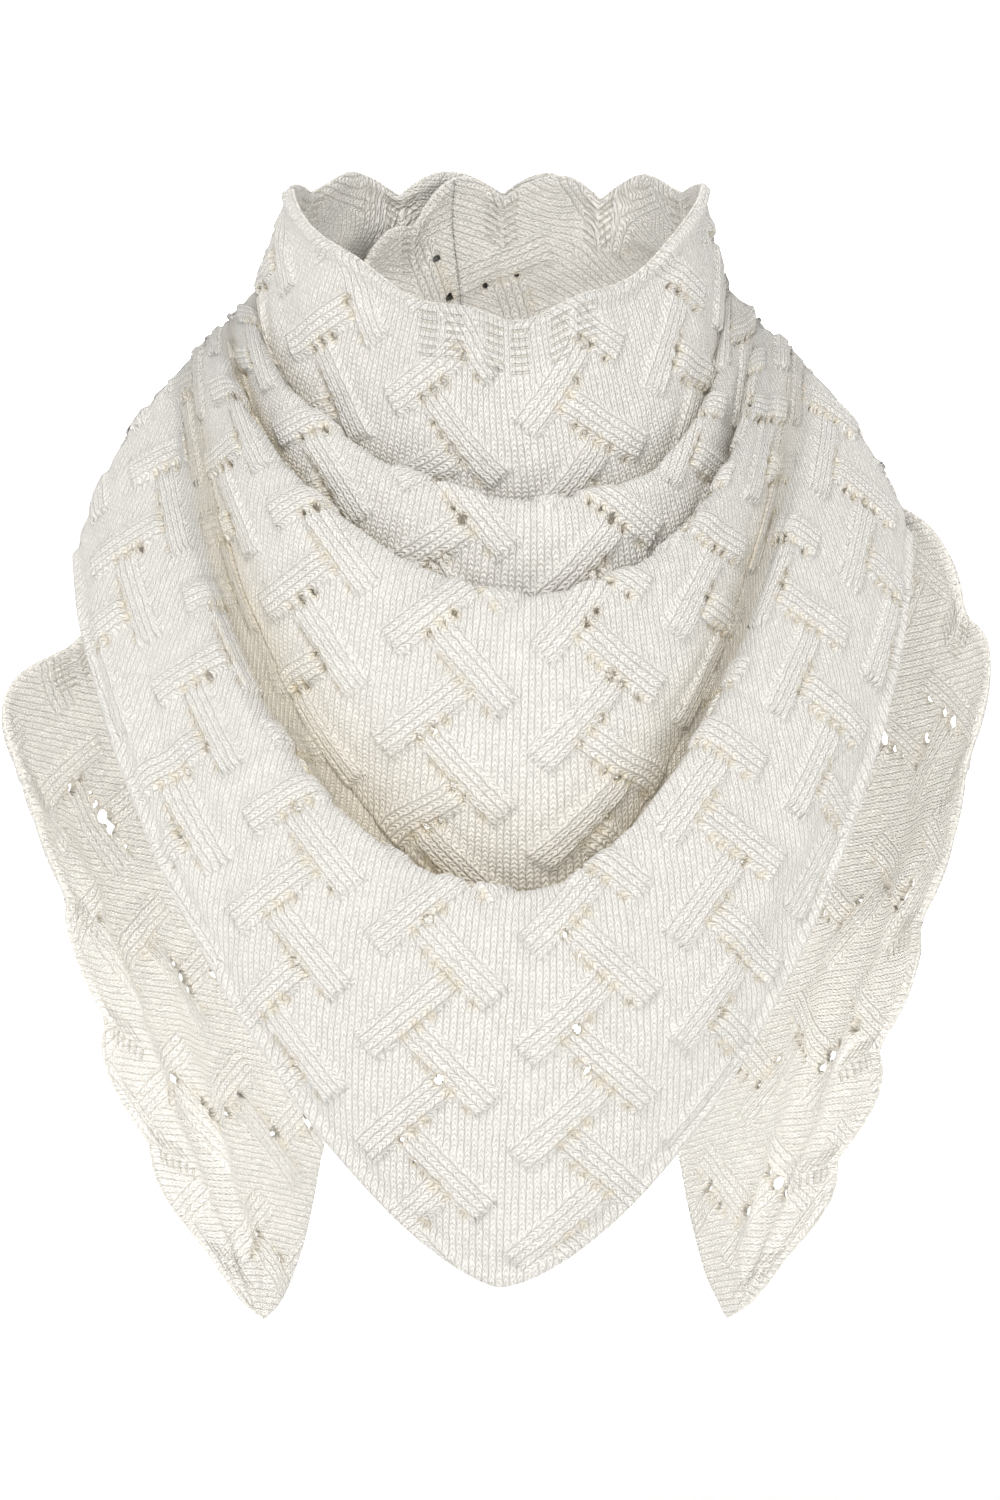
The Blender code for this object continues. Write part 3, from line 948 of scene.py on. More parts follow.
    def edge_lines(self) -> list[np.ndarray]:
        """The stretch's real edges, as lines of points in mm."""
        middle = self.base - self.normals * (0.5 * self.wall)
        lines = []
        if self.border.top:
            lines.append(middle[0] if self.across_front else middle[:, 0])
        if self.border.hem:
            lines.append(middle[-1] if self.across_front else middle[:, -1])
        if self.border.tip:
            lines.append(middle[-1])
        return lines


class Value:
    """A shader value that can be added, multiplied and compared like a number."""

    def __init__(self, tree: bpy.types.NodeTree, socket: bpy.types.NodeSocket) -> None:
        """Wrap a socket of a node tree."""
        self.tree = tree
        self.socket = socket

    def maths(self, operation: str, *others: "Value | float") -> "Value":
        """One math node on this value.

        Args:
            operation: the node's operation.
            others: its further inputs.

        Returns:
            The node's output.
        """
        node = self.tree.nodes.new("ShaderNodeMath")
        node.operation = operation
        for index, item in enumerate((self, *others)):
            if isinstance(item, Value):
                self.tree.links.new(item.socket, node.inputs[index])
            else:
                node.inputs[index].default_value = item
        return Value(self.tree, node.outputs[0])

    def constant(self, number: float) -> "Value":
        """A number as a value of this tree."""
        node = self.tree.nodes.new("ShaderNodeValue")
        node.outputs[0].default_value = number
        return Value(self.tree, node.outputs[0])

    def __add__(self, other: "Value | float") -> "Value":
        """This plus the other."""
        return self.maths("ADD", other)

    __radd__ = __add__

    def __mul__(self, other: "Value | float") -> "Value":
        """This times the other."""
        return self.maths("MULTIPLY", other)

    __rmul__ = __mul__

    def __sub__(self, other: "Value | float") -> "Value":
        """This less the other."""
        return self.maths("SUBTRACT", other)

    def __rsub__(self, other: float) -> "Value":
        """The other less this."""
        return self.constant(other).maths("SUBTRACT", self)

    def __pow__(self, power: float) -> "Value":
        """This to a power."""
        return self.maths("POWER", power)

    def __abs__(self) -> "Value":
        """This without its sign."""
        return self.maths("ABSOLUTE")

    def fraction(self) -> "Value":
        """The part after the whole number."""
        return self.maths("FRACT")

    def sine(self) -> "Value":
        """The sine."""
        return self.maths("SINE")

    def over_zero(self) -> "Value":
        """This, or 0 where it is less."""
        return self.maths("MAXIMUM", 0.0)

    def between(self, low: float, high: float) -> "Value":
        """A smooth rise from 0 at low to 1 at high."""
        node = self.tree.nodes.new("ShaderNodeMapRange")
        node.interpolation_type = "SMOOTHSTEP"
        node.inputs["From Min"].default_value = low
        node.inputs["From Max"].default_value = high
        self.tree.links.new(self.socket, node.inputs["Value"])
        return Value(self.tree, node.outputs["Result"])


@dataclass(frozen=True)
class CreamWool:
    """The soft brushed yarn: stitches, slubs, nap, painted shade between the stitches and a painted warm
    shade in the hollows.
    """

    # lit is the yarn's brightest colour and deep its darkest; the colour moves between them with painted
    # shade in the grooves of the stitches and in the slits, and with random tone. hollow is a painted
    # warm shade for the pockets and the eyelet craters.
    lit: tuple[float, float, float] = (0.955, 0.925, 0.870)
    deep: tuple[float, float, float] = (0.84, 0.78, 0.67)
    hollow: tuple[float, float, float] = (0.90, 0.77, 0.53)
    roughness: float = 0.92
    sheen: float = 0.2
    stitch_height: float = 0.0013
    rib_height: float = 0.0003
    fuzz_height: float = 0.0006
    mottle_height: float = 0.0008
    sheen_roughness: float = 0.6
    specular: float = 0.2
    noise_roughness: float = 0.6
    sway_noise: tuple[float, float] = (260.0, 2.0)
    drift_noise: tuple[float, float] = (330.0, 1.0)
    slub_noise: tuple[float, float] = (95.0, 3.0)
    fuzz_noise: tuple[float, float] = (1500.0, 4.0)
    mottle_noise: tuple[float, float] = (420.0, 3.0)
    sway: float = 0.5
    drift: float = 0.7
    leg_slope: float = 1.3
    leg_middle: float = 0.21
    leg_steepness: float = 3.45
    leg_round: float = 0.7
    step_round: float = 0.5
    step_share: float = 0.75
    slit_pitch: float = 3.5
    slit_rows: float = 22.0
    slit_fade: float = 2.5
    slit_near: tuple[float, float] = (1.2, 2.2)
    slit_far: tuple[float, float] = (8.0, 10.5)
    slit_start: tuple[float, float] = (2.5, 4.0)
    slit_edge: tuple[float, float] = (0.62, 0.95)
    # Weights of the colour mix: painted shade in the grooves of the stitches and in the slits, and random
    # tone from fuzz, mottle and slubs.
    lit_stitch: float = 0.6
    lit_fuzz: float = 0.35
    lit_mottle: float = 0.45
    lit_slub: float = 0.3
    slit_shade: float = 0.45
    lit_from: float = 0.15
    # How much painted warm shade the hollows get, a little less on the stitch crests.
    hollow_shade_share: float = 0.95
    hollow_shade_stitch: float = 0.25
    even_height: float = 0.75
    slub_height: float = 0.5
    slit_depth: float = 1.2

    def node(self, tree: bpy.types.NodeTree, kind: str, settings: dict[str, object],
             values: dict[str, object]) -> bpy.types.Node:
        """Add a node.

        Args:
            tree: the material's tree.
            kind: the node's type.
            settings: its properties.
            values: its socket values, or the sockets and values to link.

        Returns:
            The node.
        """
        made = tree.nodes.new(kind)
        for name, value in settings.items():
            setattr(made, name, value)
        for name, value in values.items():
            if isinstance(value, Value):
                tree.links.new(value.socket, made.inputs[name])
            elif isinstance(value, bpy.types.NodeSocket):
                tree.links.new(value, made.inputs[name])
            else:
                made.inputs[name].default_value = value
        return made

    def noise(self, tree: bpy.types.NodeTree, scale: float, detail: float) -> Value:
        """Fractal noise on the object's coordinates, from 0 to 1."""
        where = self.node(tree, "ShaderNodeTexCoord", {}, {})
        made = self.node(tree, "ShaderNodeTexNoise", {}, {
            "Vector": where.outputs["Object"], "Scale": scale, "Detail": detail,
            "Roughness": self.noise_roughness})
        return Value(tree, made.outputs["Fac"])

    def coordinates(self, tree: bpy.types.NodeTree, name: str) -> tuple[Value, Value]:
        """Both coordinates of a UV map."""
        made = self.node(tree, "ShaderNodeUVMap", {"uv_map": name}, {})
        split = self.node(tree, "ShaderNodeSeparateXYZ", {}, {"Vector": made.outputs["UV"]})
        return Value(tree, split.outputs["X"]), Value(tree, split.outputs["Y"])

    def stitch(self, tree: bpy.types.NodeTree) -> Value:
        """The height of the stitches, V by V, from 0 to 1."""
        wale, course = self.coordinates(tree, "stitches")
        sway = self.noise(tree, *self.sway_noise) - 0.5
        drift = self.noise(tree, *self.drift_noise) - 0.5
        side = abs((wale + sway * self.sway).fraction() - 0.5)
        leg = (course + drift * self.drift + side * self.leg_slope).fraction()
        beside_leg = abs(side - self.leg_middle) * self.leg_steepness
        round_leg = (1.0 - beside_leg ** 2.0).over_zero() ** self.leg_round
        round_step = (1.0 - abs(leg - 0.5) * 2.0).over_zero() ** self.step_round
        return round_leg * (round_step * self.step_share + (1.0 - self.step_share))

    def attribute(self, tree: bpy.types.NodeTree, name: str) -> Value:
        """A named number of the mesh."""
        return Value(tree, self.node(tree, "ShaderNodeAttribute", {"attribute_name": name}, {})
                     .outputs["Fac"])

    def slits(self, tree: bpy.types.NodeTree) -> Value:
        """The ladder of short slits beside each trough of the scallops, from 0 to 1."""
        spine, top = self.coordinates(tree, "border")
        beside = spine.between(*self.slit_near) * (1.0 - spine.between(*self.slit_far))
        below = top.between(self.slit_rows, self.slit_rows + self.slit_fade)
        down = top.between(*self.slit_start) * (1.0 - below)
        turn = (top * (2 * math.pi / self.slit_pitch)).sine() * 0.5 + 0.5
        ladder = turn.between(*self.slit_edge)
        return beside * down * ladder

    def build(self) -> bpy.types.Material:
        """Make the material."""
        material = bpy.data.materials.new(SLOT)
        material.use_nodes = True
        tree = material.node_tree
        shader = tree.nodes["Principled BSDF"]
        shader.inputs["Roughness"].default_value = self.roughness
        shader.inputs["Sheen Weight"].default_value = self.sheen
        shader.inputs["Sheen Roughness"].default_value = self.sheen_roughness
        shader.inputs["Specular IOR Level"].default_value = self.specular
        stitch, slits = self.stitch(tree), self.slits(tree)
        slub, fuzz = self.noise(tree, *self.slub_noise), self.noise(tree, *self.fuzz_noise)
        mottle = self.noise(tree, *self.mottle_noise)
        ribs, hollow = self.attribute(tree, "ribs"), self.attribute(tree, "hollow")
        # Painted shade in the grooves of the stitches and in the slits, with random tone from fuzz,
        # mottle and slubs.
        shade = (stitch * self.lit_stitch + fuzz * self.lit_fuzz + mottle * self.lit_mottle
                 + slub * self.lit_slub - slits * self.slit_shade).between(self.lit_from, 1.0)
        yarn = self.node(tree, "ShaderNodeMix", {"data_type": "RGBA"}, {"Factor": shade})
        yarn.inputs[6].default_value = (*self.deep, 1.0)
        yarn.inputs[7].default_value = (*self.lit, 1.0)
        # Painted warm shade over the pockets and the eyelet craters.
        colour = self.node(tree, "ShaderNodeMix", {"data_type": "RGBA"},
                           {"Factor": hollow * (self.hollow_shade_share - stitch * self.hollow_shade_stitch)})
        tree.links.new(yarn.outputs[2], colour.inputs[6])
        colour.inputs[7].default_value = (*self.hollow, 1.0)
        raised = stitch * (self.even_height + slub * self.slub_height) - slits * self.slit_depth
        height = raised * self.stitch_height
        height = height + stitch * ribs * self.rib_height + mottle * self.mottle_height
        bump = self.node(tree, "ShaderNodeBump", {}, {
            "Strength": 1.0, "Distance": 1.0, "Height": height + fuzz * self.fuzz_height})
        tree.links.new(colour.outputs[2], shader.inputs["Base Color"])
        tree.links.new(bump.outputs["Normal"], shader.inputs["Normal"])
        return material


@dataclass
class Tree:
    """A Geometry Nodes group that is built up, run once on an object and turned into a plain mesh."""

    name: str
    inputs: dict[str, tuple[str, object]]
    group: bpy.types.NodeTree = field(init=False)
    start: bpy.types.Node = field(init=False)

    def __post_init__(self) -> None:
        """Make the group with its named inputs."""
        self.group = bpy.data.node_groups.new(self.name, "GeometryNodeTree")
        face = self.group.interface
        face.new_socket("Geometry", in_out="INPUT", socket_type="NodeSocketGeometry")
        for name, (kind, _) in self.inputs.items():
            face.new_socket(name, in_out="INPUT", socket_type=kind)
        face.new_socket("Geometry", in_out="OUTPUT", socket_type="NodeSocketGeometry")
        self.start = self.group.nodes.new("NodeGroupInput")

    def add(self, kind: str, settings: dict[str, object], links: dict[str, object]) -> bpy.types.Node:
        """Add a node.

        Args:
            kind: the node's type.
            settings: its properties.
            links: its socket values, or the sockets that feed it.

        Returns:
            The node.
        """
        node = self.group.nodes.new(kind)
        for name, value in settings.items():
            setattr(node, name, value)
        for name, value in links.items():
            socket = next(item for item in node.inputs if item.name == name and item.enabled)
            if isinstance(value, bpy.types.NodeSocket):
                self.group.links.new(value, socket)
            else:
                socket.default_value = value
        return node

    def finish(self, instances: bpy.types.NodeSocket) -> None:
        """Realize the instances, set their material and end the group."""
        real = self.add("GeometryNodeRealizeInstances", {}, {"Geometry": instances})
        smooth = self.add("GeometryNodeSetShadeSmooth", {}, {"Geometry": real.outputs[0]})
        done = self.add("GeometryNodeSetMaterial", {},
                        {"Geometry": smooth.outputs[0], "Material": self.start.outputs["Material"]})
        end = self.group.nodes.new("NodeGroupOutput")
        self.group.links.new(done.outputs[0], end.inputs[0])

    def run(self, thing: bpy.types.Object, name: str) -> bpy.types.Object:
        """Run the group on an object.

        Args:
            thing: the object that it starts from, which stays as it is.
            name: the new object's name.

        Returns:
            The new plain mesh object.
        """
        holder = bpy.data.objects.new(name, thing.data)
        bpy.context.scene.collection.objects.link(holder)
        modifier = holder.modifiers.new(self.name, "NODES")
        modifier.node_group = self.group
        for item in self.group.interface.items_tree:
            if item.in_out == "INPUT" and item.name in self.inputs:
                modifier[item.identifier] = self.inputs[item.name][1]
        bpy.context.view_layer.update()
        graph = bpy.context.evaluated_depsgraph_get()
        data = bpy.data.meshes.new_from_object(holder.evaluated_get(graph), depsgraph=graph)
        holder.modifiers.clear()
        holder.data = data
        LOG.info("%s: %d faces", name, len(data.polygons))
        return holder


@dataclass(frozen=True)
class EdgeStitches:
    """The chain of edge stitches along a stretch's real edges."""

    pitch: float = 0.0019
    size: tuple[float, float, float] = (0.00075, 0.00075, 0.00125)
    smallest: float = 0.82
    largest: float = 1.18
    seed: int = 7

    def build(self, name: str, lines: Sequence[np.ndarray],
              wool: bpy.types.Material) -> bpy.types.Object:
        """Make the chain.

        Args:
            name: the object's name.
            lines: the edges, as points in mm.
            wool: the yarn's material.

        Returns:
            The object.
        """
        tree = Tree("edge_stitches", {
            "Pitch": ("NodeSocketFloat", self.pitch), "Seed": ("NodeSocketInt", self.seed),
            "Material": ("NodeSocketMaterial", wool)})
        given = tree.start.outputs
        curve = tree.add("GeometryNodeMeshToCurve", {}, {"Mesh": given["Geometry"]})
        even = tree.add("GeometryNodeResampleCurve", {"mode": "LENGTH"},
                        {"Curve": curve.outputs[0], "Length": given["Pitch"]})
        tangent = tree.add("GeometryNodeInputTangent", {}, {})
        turn = tree.add("FunctionNodeAlignRotationToVector", {"axis": "Z"},
                        {"Vector": tangent.outputs[0]})
        ball = tree.add("GeometryNodeMeshUVSphere", {},
                        {"Segments": 6, "Rings": 4, "Radius": 1.0})
        size = tree.add("FunctionNodeRandomValue", {"data_type": "FLOAT_VECTOR"}, {
            "Min": tuple(self.smallest * part for part in self.size),
            "Max": tuple(self.largest * part for part in self.size), "Seed": given["Seed"]})
        beads = tree.add("GeometryNodeInstanceOnPoints", {}, {
            "Points": even.outputs[0], "Instance": ball.outputs[0], "Rotation": turn.outputs[0],
            "Scale": size.outputs[0]})
        tree.finish(beads.outputs[0])
        points, edges = [], []
        for line in lines:
            start = len(points)
            points += [tuple(point * MM) for point in line]
            edges += [(start + index, start + index + 1) for index in range(len(line) - 1)]
        data = bpy.data.meshes.new(name + "_line")
        data.from_pydata(points, edges, [])
        seed_object = bpy.data.objects.new(name + "_line", data)
        made = tree.run(seed_object, name)
        bpy.data.objects.remove(seed_object)
        return made


@dataclass(frozen=True)
class Nap:
    """Short loose fibres that stand out from the yarn."""

    density: float = 13000.0
    length: float = 0.0026
    width: float = 0.00007
    root: float = -0.1
    bend: float = 0.55
    tip: tuple[float, float] = (0.7, 0.65)
    lean: float = 0.7
    smallest: float = 0.5
    largest: float = 1.2
    seed: int = 11

    def build(self, name: str, cloth: bpy.types.Object, wool: bpy.types.Material) -> bpy.types.Object:
        """Make the fibres.

        Args:
            name: the object's name.
            cloth: the stretch that they stand on.
            wool: the yarn's material.

        Returns:
            The object.
        """
        tree = Tree("nap", {
            "Density": ("NodeSocketFloat", self.density), "Seed": ("NodeSocketInt", self.seed),
            "Material": ("NodeSocketMaterial", wool)})
        given = tree.start.outputs
        roots = tree.add("GeometryNodeDistributePointsOnFaces", {}, {
            "Mesh": given["Geometry"], "Density": given["Density"], "Seed": given["Seed"]})
        path = tree.add("GeometryNodeCurveQuadraticBezier", {}, {
            "Resolution": 3, "Start": (0.0, 0.0, self.root * self.length),
            "Middle": (0.0, 0.0, self.bend * self.length),
            "End": (self.tip[0] * self.length, 0.0, self.tip[1] * self.length)})
        flat = tree.add("GeometryNodeCurvePrimitiveLine", {}, {
            "Start": (-self.width / 2, 0.0, 0.0), "End": (self.width / 2, 0.0, 0.0)})
        ribbon = tree.add("GeometryNodeCurveToMesh", {}, {
            "Curve": path.outputs[0], "Profile Curve": flat.outputs[0]})
        lean = tree.add("FunctionNodeRandomValue", {"data_type": "FLOAT_VECTOR"}, {
            "Min": (-self.lean, -self.lean, 0.0), "Max": (self.lean, self.lean, 2 * math.pi),
            "Seed": given["Seed"]})
        turn = tree.add("FunctionNodeEulerToRotation", {}, {"Euler": lean.outputs[0]})
        both = tree.add("FunctionNodeRotateRotation", {"rotation_space": "LOCAL"}, {
            "Rotation": roots.outputs["Rotation"], "Rotate By": turn.outputs[0]})
        size = tree.add("FunctionNodeRandomValue", {"data_type": "FLOAT"}, {
            "Min": self.smallest, "Max": self.largest, "Seed": given["Seed"]})
        fibres = tree.add("GeometryNodeInstanceOnPoints", {}, {
            "Points": roots.outputs["Points"], "Instance": ribbon.outputs[0],
            "Rotation": both.outputs[0], "Scale": size.outputs[1]})
        tree.finish(fibres.outputs[0])
        return tree.run(cloth, name)


@dataclass(frozen=True)
class Cut:
    """The flat cut of a stretch, in metres."""

    width: float
    length: float
    area: float
    rests_on: tuple[str, ...]


@dataclass
class Scarf:
    """The whole scarf: its charts, its stretches and what is on them."""

    motif: Motif = Motif()
    wool: CreamWool = CreamWool()
    edge: EdgeStitches = EdgeStitches()
    nap: Nap = Nap()
    front_columns: int = 25
    band_columns: int = 9
    plan_steps: int = 12
    droop: float = 0.75
    beside: float = 0.05
    anchor_place: tuple[float, float] = (-36.5, -282.0)
    middle_pull: float = 0.1
    band_width: float = 205.0
    nape: float = 3.0
    nape_seam: float = 0.006
    stretches: list[Stretch] = field(default_factory=list)

    def build(self) -> None:
        """Lay out the charts and the stretches."""
        fronts = self.front_charts()
        anchor = self.anchor(fronts)
        self.stretches = self.front_stretches(fronts, anchor) + self.band_stretches(fronts, anchor)

    def front_charts(self) -> Chart:
        """One chart for everything that hangs across the front."""
        rows = COLLAR_ROWS + COWL_ROWS + BIB_ROWS
        across = np.linspace(-1, 1, self.front_columns)
        places = np.arange(len(rows), dtype=float)
        form = FrontForm(rows)
        points = form.points(places, across)
        middle = self.front_columns // 2
        drop = reach_along(points[:, middle])
        fine = form.points(places, np.linspace(-1, 1, self.plan_steps * (self.front_columns - 1) + 1))
        plan = reach_across(fine[..., :2], 1)[:, ::self.plan_steps]
        flat_x = plan - plan[:, middle:middle + 1]
        flat_y = self.droop * (points[..., 2] - points[:, middle:middle + 1, 2]) - drop[:, None]
        held = np.zeros(flat_x.shape, bool)
        held[:, middle] = True
        return Chart(form, places, across, np.stack([flat_x, flat_y], axis=-1), held)

    def anchor(self, chart: Chart) -> np.ndarray:
        """The flat place of the motif's start, where the photograph shows a brick's upper corner."""
        places = np.linspace(22.0, 26.0, 161)
        across = np.linspace(-0.6, 0.6, 241)
        points = chart.form.points(places, across)
        gap = np.hypot(points[..., 0] - self.anchor_place[0], points[..., 2] - self.anchor_place[1])
        return chart.at(places, across)[np.unravel_index(np.argmin(gap), gap.shape)]

    def front_stretches(self, chart: Chart, anchor: np.ndarray) -> list[Stretch]:
        """The collar, the cowl and the bib."""
        parts = (Part.COLLAR, Part.COWL, Part.BIB)
        forms = [FrontForm(rows) for rows in (COLLAR_ROWS, COWL_ROWS, BIB_ROWS)]
        start, made = 0.0, []
        for index, (part, form) in enumerate(zip(parts, forms)):
            wide, high = FINISHES[part].cell
            across = self.warped(self.columns_for(form, wide))
            places = self.even_places(form, high)
            before = after = None
            if index > 0:
                above = forms[index - 1]
                before = above.points(np.array([above.last - self.beside]), across)[0]
            if index < len(forms) - 1:
                after = forms[index + 1].points(np.array([self.beside]), across)[0]
            made.append(Stretch(part, form, chart, start, places, across, self.motif, anchor,
                                before=before, after=after))
            start += form.last + 1
        return made

    def columns_for(self, form: FrontForm, cell: float) -> int:
        """How many columns a front form needs for cells of a size."""
        points = form.points(np.array([0.0, form.last]), np.linspace(-1, 1, 201))
        return int(np.linalg.norm(np.diff(points, axis=1), axis=-1).sum(axis=1).max() / cell)

    def warped(self, columns: int) -> np.ndarray:
        """Places from -1 to 1, a little closer in the middle."""
        even = np.linspace(-1, 1, columns + 1)
        return even * (1 - self.middle_pull + self.middle_pull * even ** 2)

    def even_places(self, form: FrontForm, cell: float) -> np.ndarray:
        """Places down a front form that are about a cell apart where the rows are furthest apart."""
        fine = np.linspace(0, form.last, 1501)
        points = form.points(fine, np.array([-0.45, 0.0, 0.45]))
        return even_cells(fine, np.linalg.norm(np.diff(points, axis=0), axis=-1).max(axis=1), cell)

    def band_chart(self, form: BandForm, front: Chart) -> Chart:
        """A chart for one wrap, which starts where the front's chart ends."""
        places = np.arange(0, form.last + 0.25, 0.5)
        depths = np.linspace(0, 1, self.band_columns)
        fine = form.points(places, depths)
        line = front.form.points(front.places, np.array([float(form.side)]))[:, 0]
        reach = reach_along(line)
        edge = front.flat[:, -1 if form.side > 0 else 0]
        start = np.stack([np.interp(depths * reach[-1], reach, edge[:, axis]) for axis in range(2)],
                         axis=-1)
        middle = reach_across(fine, 0).mean(axis=1, keepdims=True) * np.ones((1, len(depths)))
        width = np.linalg.norm(np.diff(fine, axis=1), axis=-1).sum(axis=1)
        down = unit(start[-1:] - start[:1])
        sideways = np.array([[-down[0, 1], down[0, 0]]])
        sideways *= np.sign(sideways[0, 0]) * form.side
        guess = (start[:1] + sideways * middle[..., None]
                 + down * (depths[None, :, None] * width[:, None, None]))
        guess[0] = start
        held = np.zeros(guess.shape[:2], bool)
        held[0] = True
        return Chart(form, places, depths, guess, held, steadiness=0.0005, rounds=22)

    def band_stretches(self, front: Chart, anchor: np.ndarray) -> list[Stretch]:
        """Both wraps and both ends."""
        made = []
        table = ((OUTER_STATIONS, -1, Part.LEFT_WRAP, Part.RIGHT_END),
                 (INNER_STATIONS, 1, Part.RIGHT_WRAP, Part.LEFT_END))
        for stations, side, wrap, end in table:
            form = BandForm(stations, side)
            chart = self.band_chart(form, front)
            end_start = self.nape + self.nape_seam
            for part, first, last in ((wrap, 0.0, self.nape), (end, end_start, form.last)):
                deep, long = FINISHES[part].cell
                depths = np.linspace(0, 1, int(self.band_width / deep))
                places = self.band_places(form, first, last, long)
                ends = form.points(np.array([self.nape - self.beside, self.nape + self.beside]), depths)
                before, after = (None, ends[1]) if part is wrap else (ends[0], None)
                made.append(Stretch(part, form, chart, 0.0, places, depths, self.motif, anchor,
                                    flip=side > 0, across_front=False, before=before, after=after))
        return made

    def band_places(self, form: BandForm, first: float, last: float, cell: float) -> np.ndarray:
        """Places along a wrap that are about a cell apart."""
        fine = np.linspace(first, last, 1201)
        points = form.points(fine, np.array([0.0, 0.5]))
        return even_cells(fine, np.linalg.norm(np.diff(points, axis=0), axis=-1).mean(axis=1), cell)

    def dress(self) -> None:
        wool = self.wool.build()
        for stretch in self.stretches:
            cloth = stretch.knit()
            cloth.data.materials.append(wool)
            node = stretch.part.value
            extras = []
            if stretch.edge_lines():
                extras.append(self.edge.build("edge_" + node, stretch.edge_lines(), wool))
            extras.append(self.nap.build("nap_" + node, cloth, wool))
            for piece in (cloth, *extras):
                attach(piece, "root")
                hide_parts(node)
            LOG.info("dressed %s", node)


CREASES = (
    Crease("inner pleat of the bib, left", Part.BIB,
           ((-152, -164), (-143, -203), (-126, -226), (-113, -250), (-104, -262)), 7.0, -3.0),
    Crease("ridge beside it", Part.BIB,
           ((-160, -160), (-152, -200), (-138, -232), (-122, -262), (-110, -285)), 6.0, 1.6),
    Crease("outer pleat of the bib, right", Part.BIB,
           ((155, -205), (134, -250), (111, -287), (95, -305)), 7.0, -2.4),
    Crease("ridge beside it, right", Part.BIB,
           ((150, -180), (126, -232), (103, -272), (80, -300)), 7.0, 1.6),
    Crease("short fold under the left shoulder", Part.COWL,
           ((-110, -44), (-118, -52), (-121, -72), (-118, -77)), 3.0, 1.4),
    Crease("narrow roll under the right shoulder", Part.COWL,
           ((95, -14), (103, -28), (103, -55)), 3.0, 1.6),
    Crease("long trough down the left wrap", Part.LEFT_WRAP,
           ((-120, -20), (-80, -60), (-30, -90), (20, -120)), 9.0, -2.0),
    Crease("ridge down the left wrap", Part.LEFT_WRAP,
           ((-140, -70), (-90, -110), (-40, -140), (0, -170)), 8.0, 1.8),
    Crease("soft trough under the neck edge, left", Part.COLLAR,
           ((-92, -8), (-86, -34), (-70, -60), (-46, -76)), 6.0, -1.3),
    Crease("soft ridge under the neck edge, right", Part.COLLAR,
           ((88, -4), (83, -34), (66, -62), (42, -84)), 6.0, 1.3),
    Crease("slant of the first belly, left", Part.COWL,
           ((-105, -92), (-71, -134), (-29, -155)), 8.0, 1.3),
    Crease("slant of the first belly, right", Part.COWL,
           ((103, -97), (80, -139), (46, -164)), 8.0, -1.3),
    Crease("slack towards the point, left", Part.BIB,
           ((-84, -273), (-59, -315), (-34, -349)), 9.0, -1.1),
    Crease("slack towards the point, right", Part.BIB,
           ((84, -273), (63, -319), (42, -353)), 9.0, 1.1),
    Crease("long trough down the right wrap", Part.RIGHT_WRAP,
           ((125, -25), (84, -62), (34, -95), (-16, -118)), 9.0, -2.0),
    Crease("ridge down the right wrap", Part.RIGHT_WRAP,
           ((140, -72), (92, -112), (44, -138), (2, -166)), 8.0, 1.8),
    Crease("trough from the nape, right", Part.RIGHT_END,
           ((30, -60), (70, -120), (100, -190), (120, -260)), 10.0, -2.4),
    Crease("ridge over the shoulder blade, right", Part.RIGHT_END,
           ((40, -150), (70, -220), (90, -300), (100, -370)), 9.0, 2.0),
    Crease("trough over the shoulder blade, left", Part.LEFT_END,
           ((-30, -70), (-70, -130), (-105, -200), (-125, -280)), 10.0, -2.4),
    Crease("ridge towards the left tip", Part.LEFT_END,
           ((-60, -190), (-85, -260), (-98, -340), (-102, -400)), 8.0, 1.8),
)


@dataclass(frozen=True)
class Lamp:
    """A square area light, in metres and watts."""

    name: str
    place: tuple[float, float, float]
    aim: tuple[float, float, float]
    size: float
    power: float


LAMPS = (
    Lamp("key", (-0.5, -2.0, 2.2), (0.0, 0.0, -0.2), 1.1, 36.0),
    Lamp("fill", (0.3, -3.4, -0.3), (0.0, 0.0, -0.25), 3.0, 50.0),
    Lamp("wall", (0.0, 4.5, 3.2), (0.0, 6.5, -0.56), 4.0, 400.0),
    Lamp("low_left", (-0.75, -0.45, -0.38), (-0.16, 0.1, -0.28), 0.4, 0.9),
    Lamp("low_right", (0.75, -0.45, -0.38), (0.16, 0.1, -0.28), 0.4, 0.9),
)


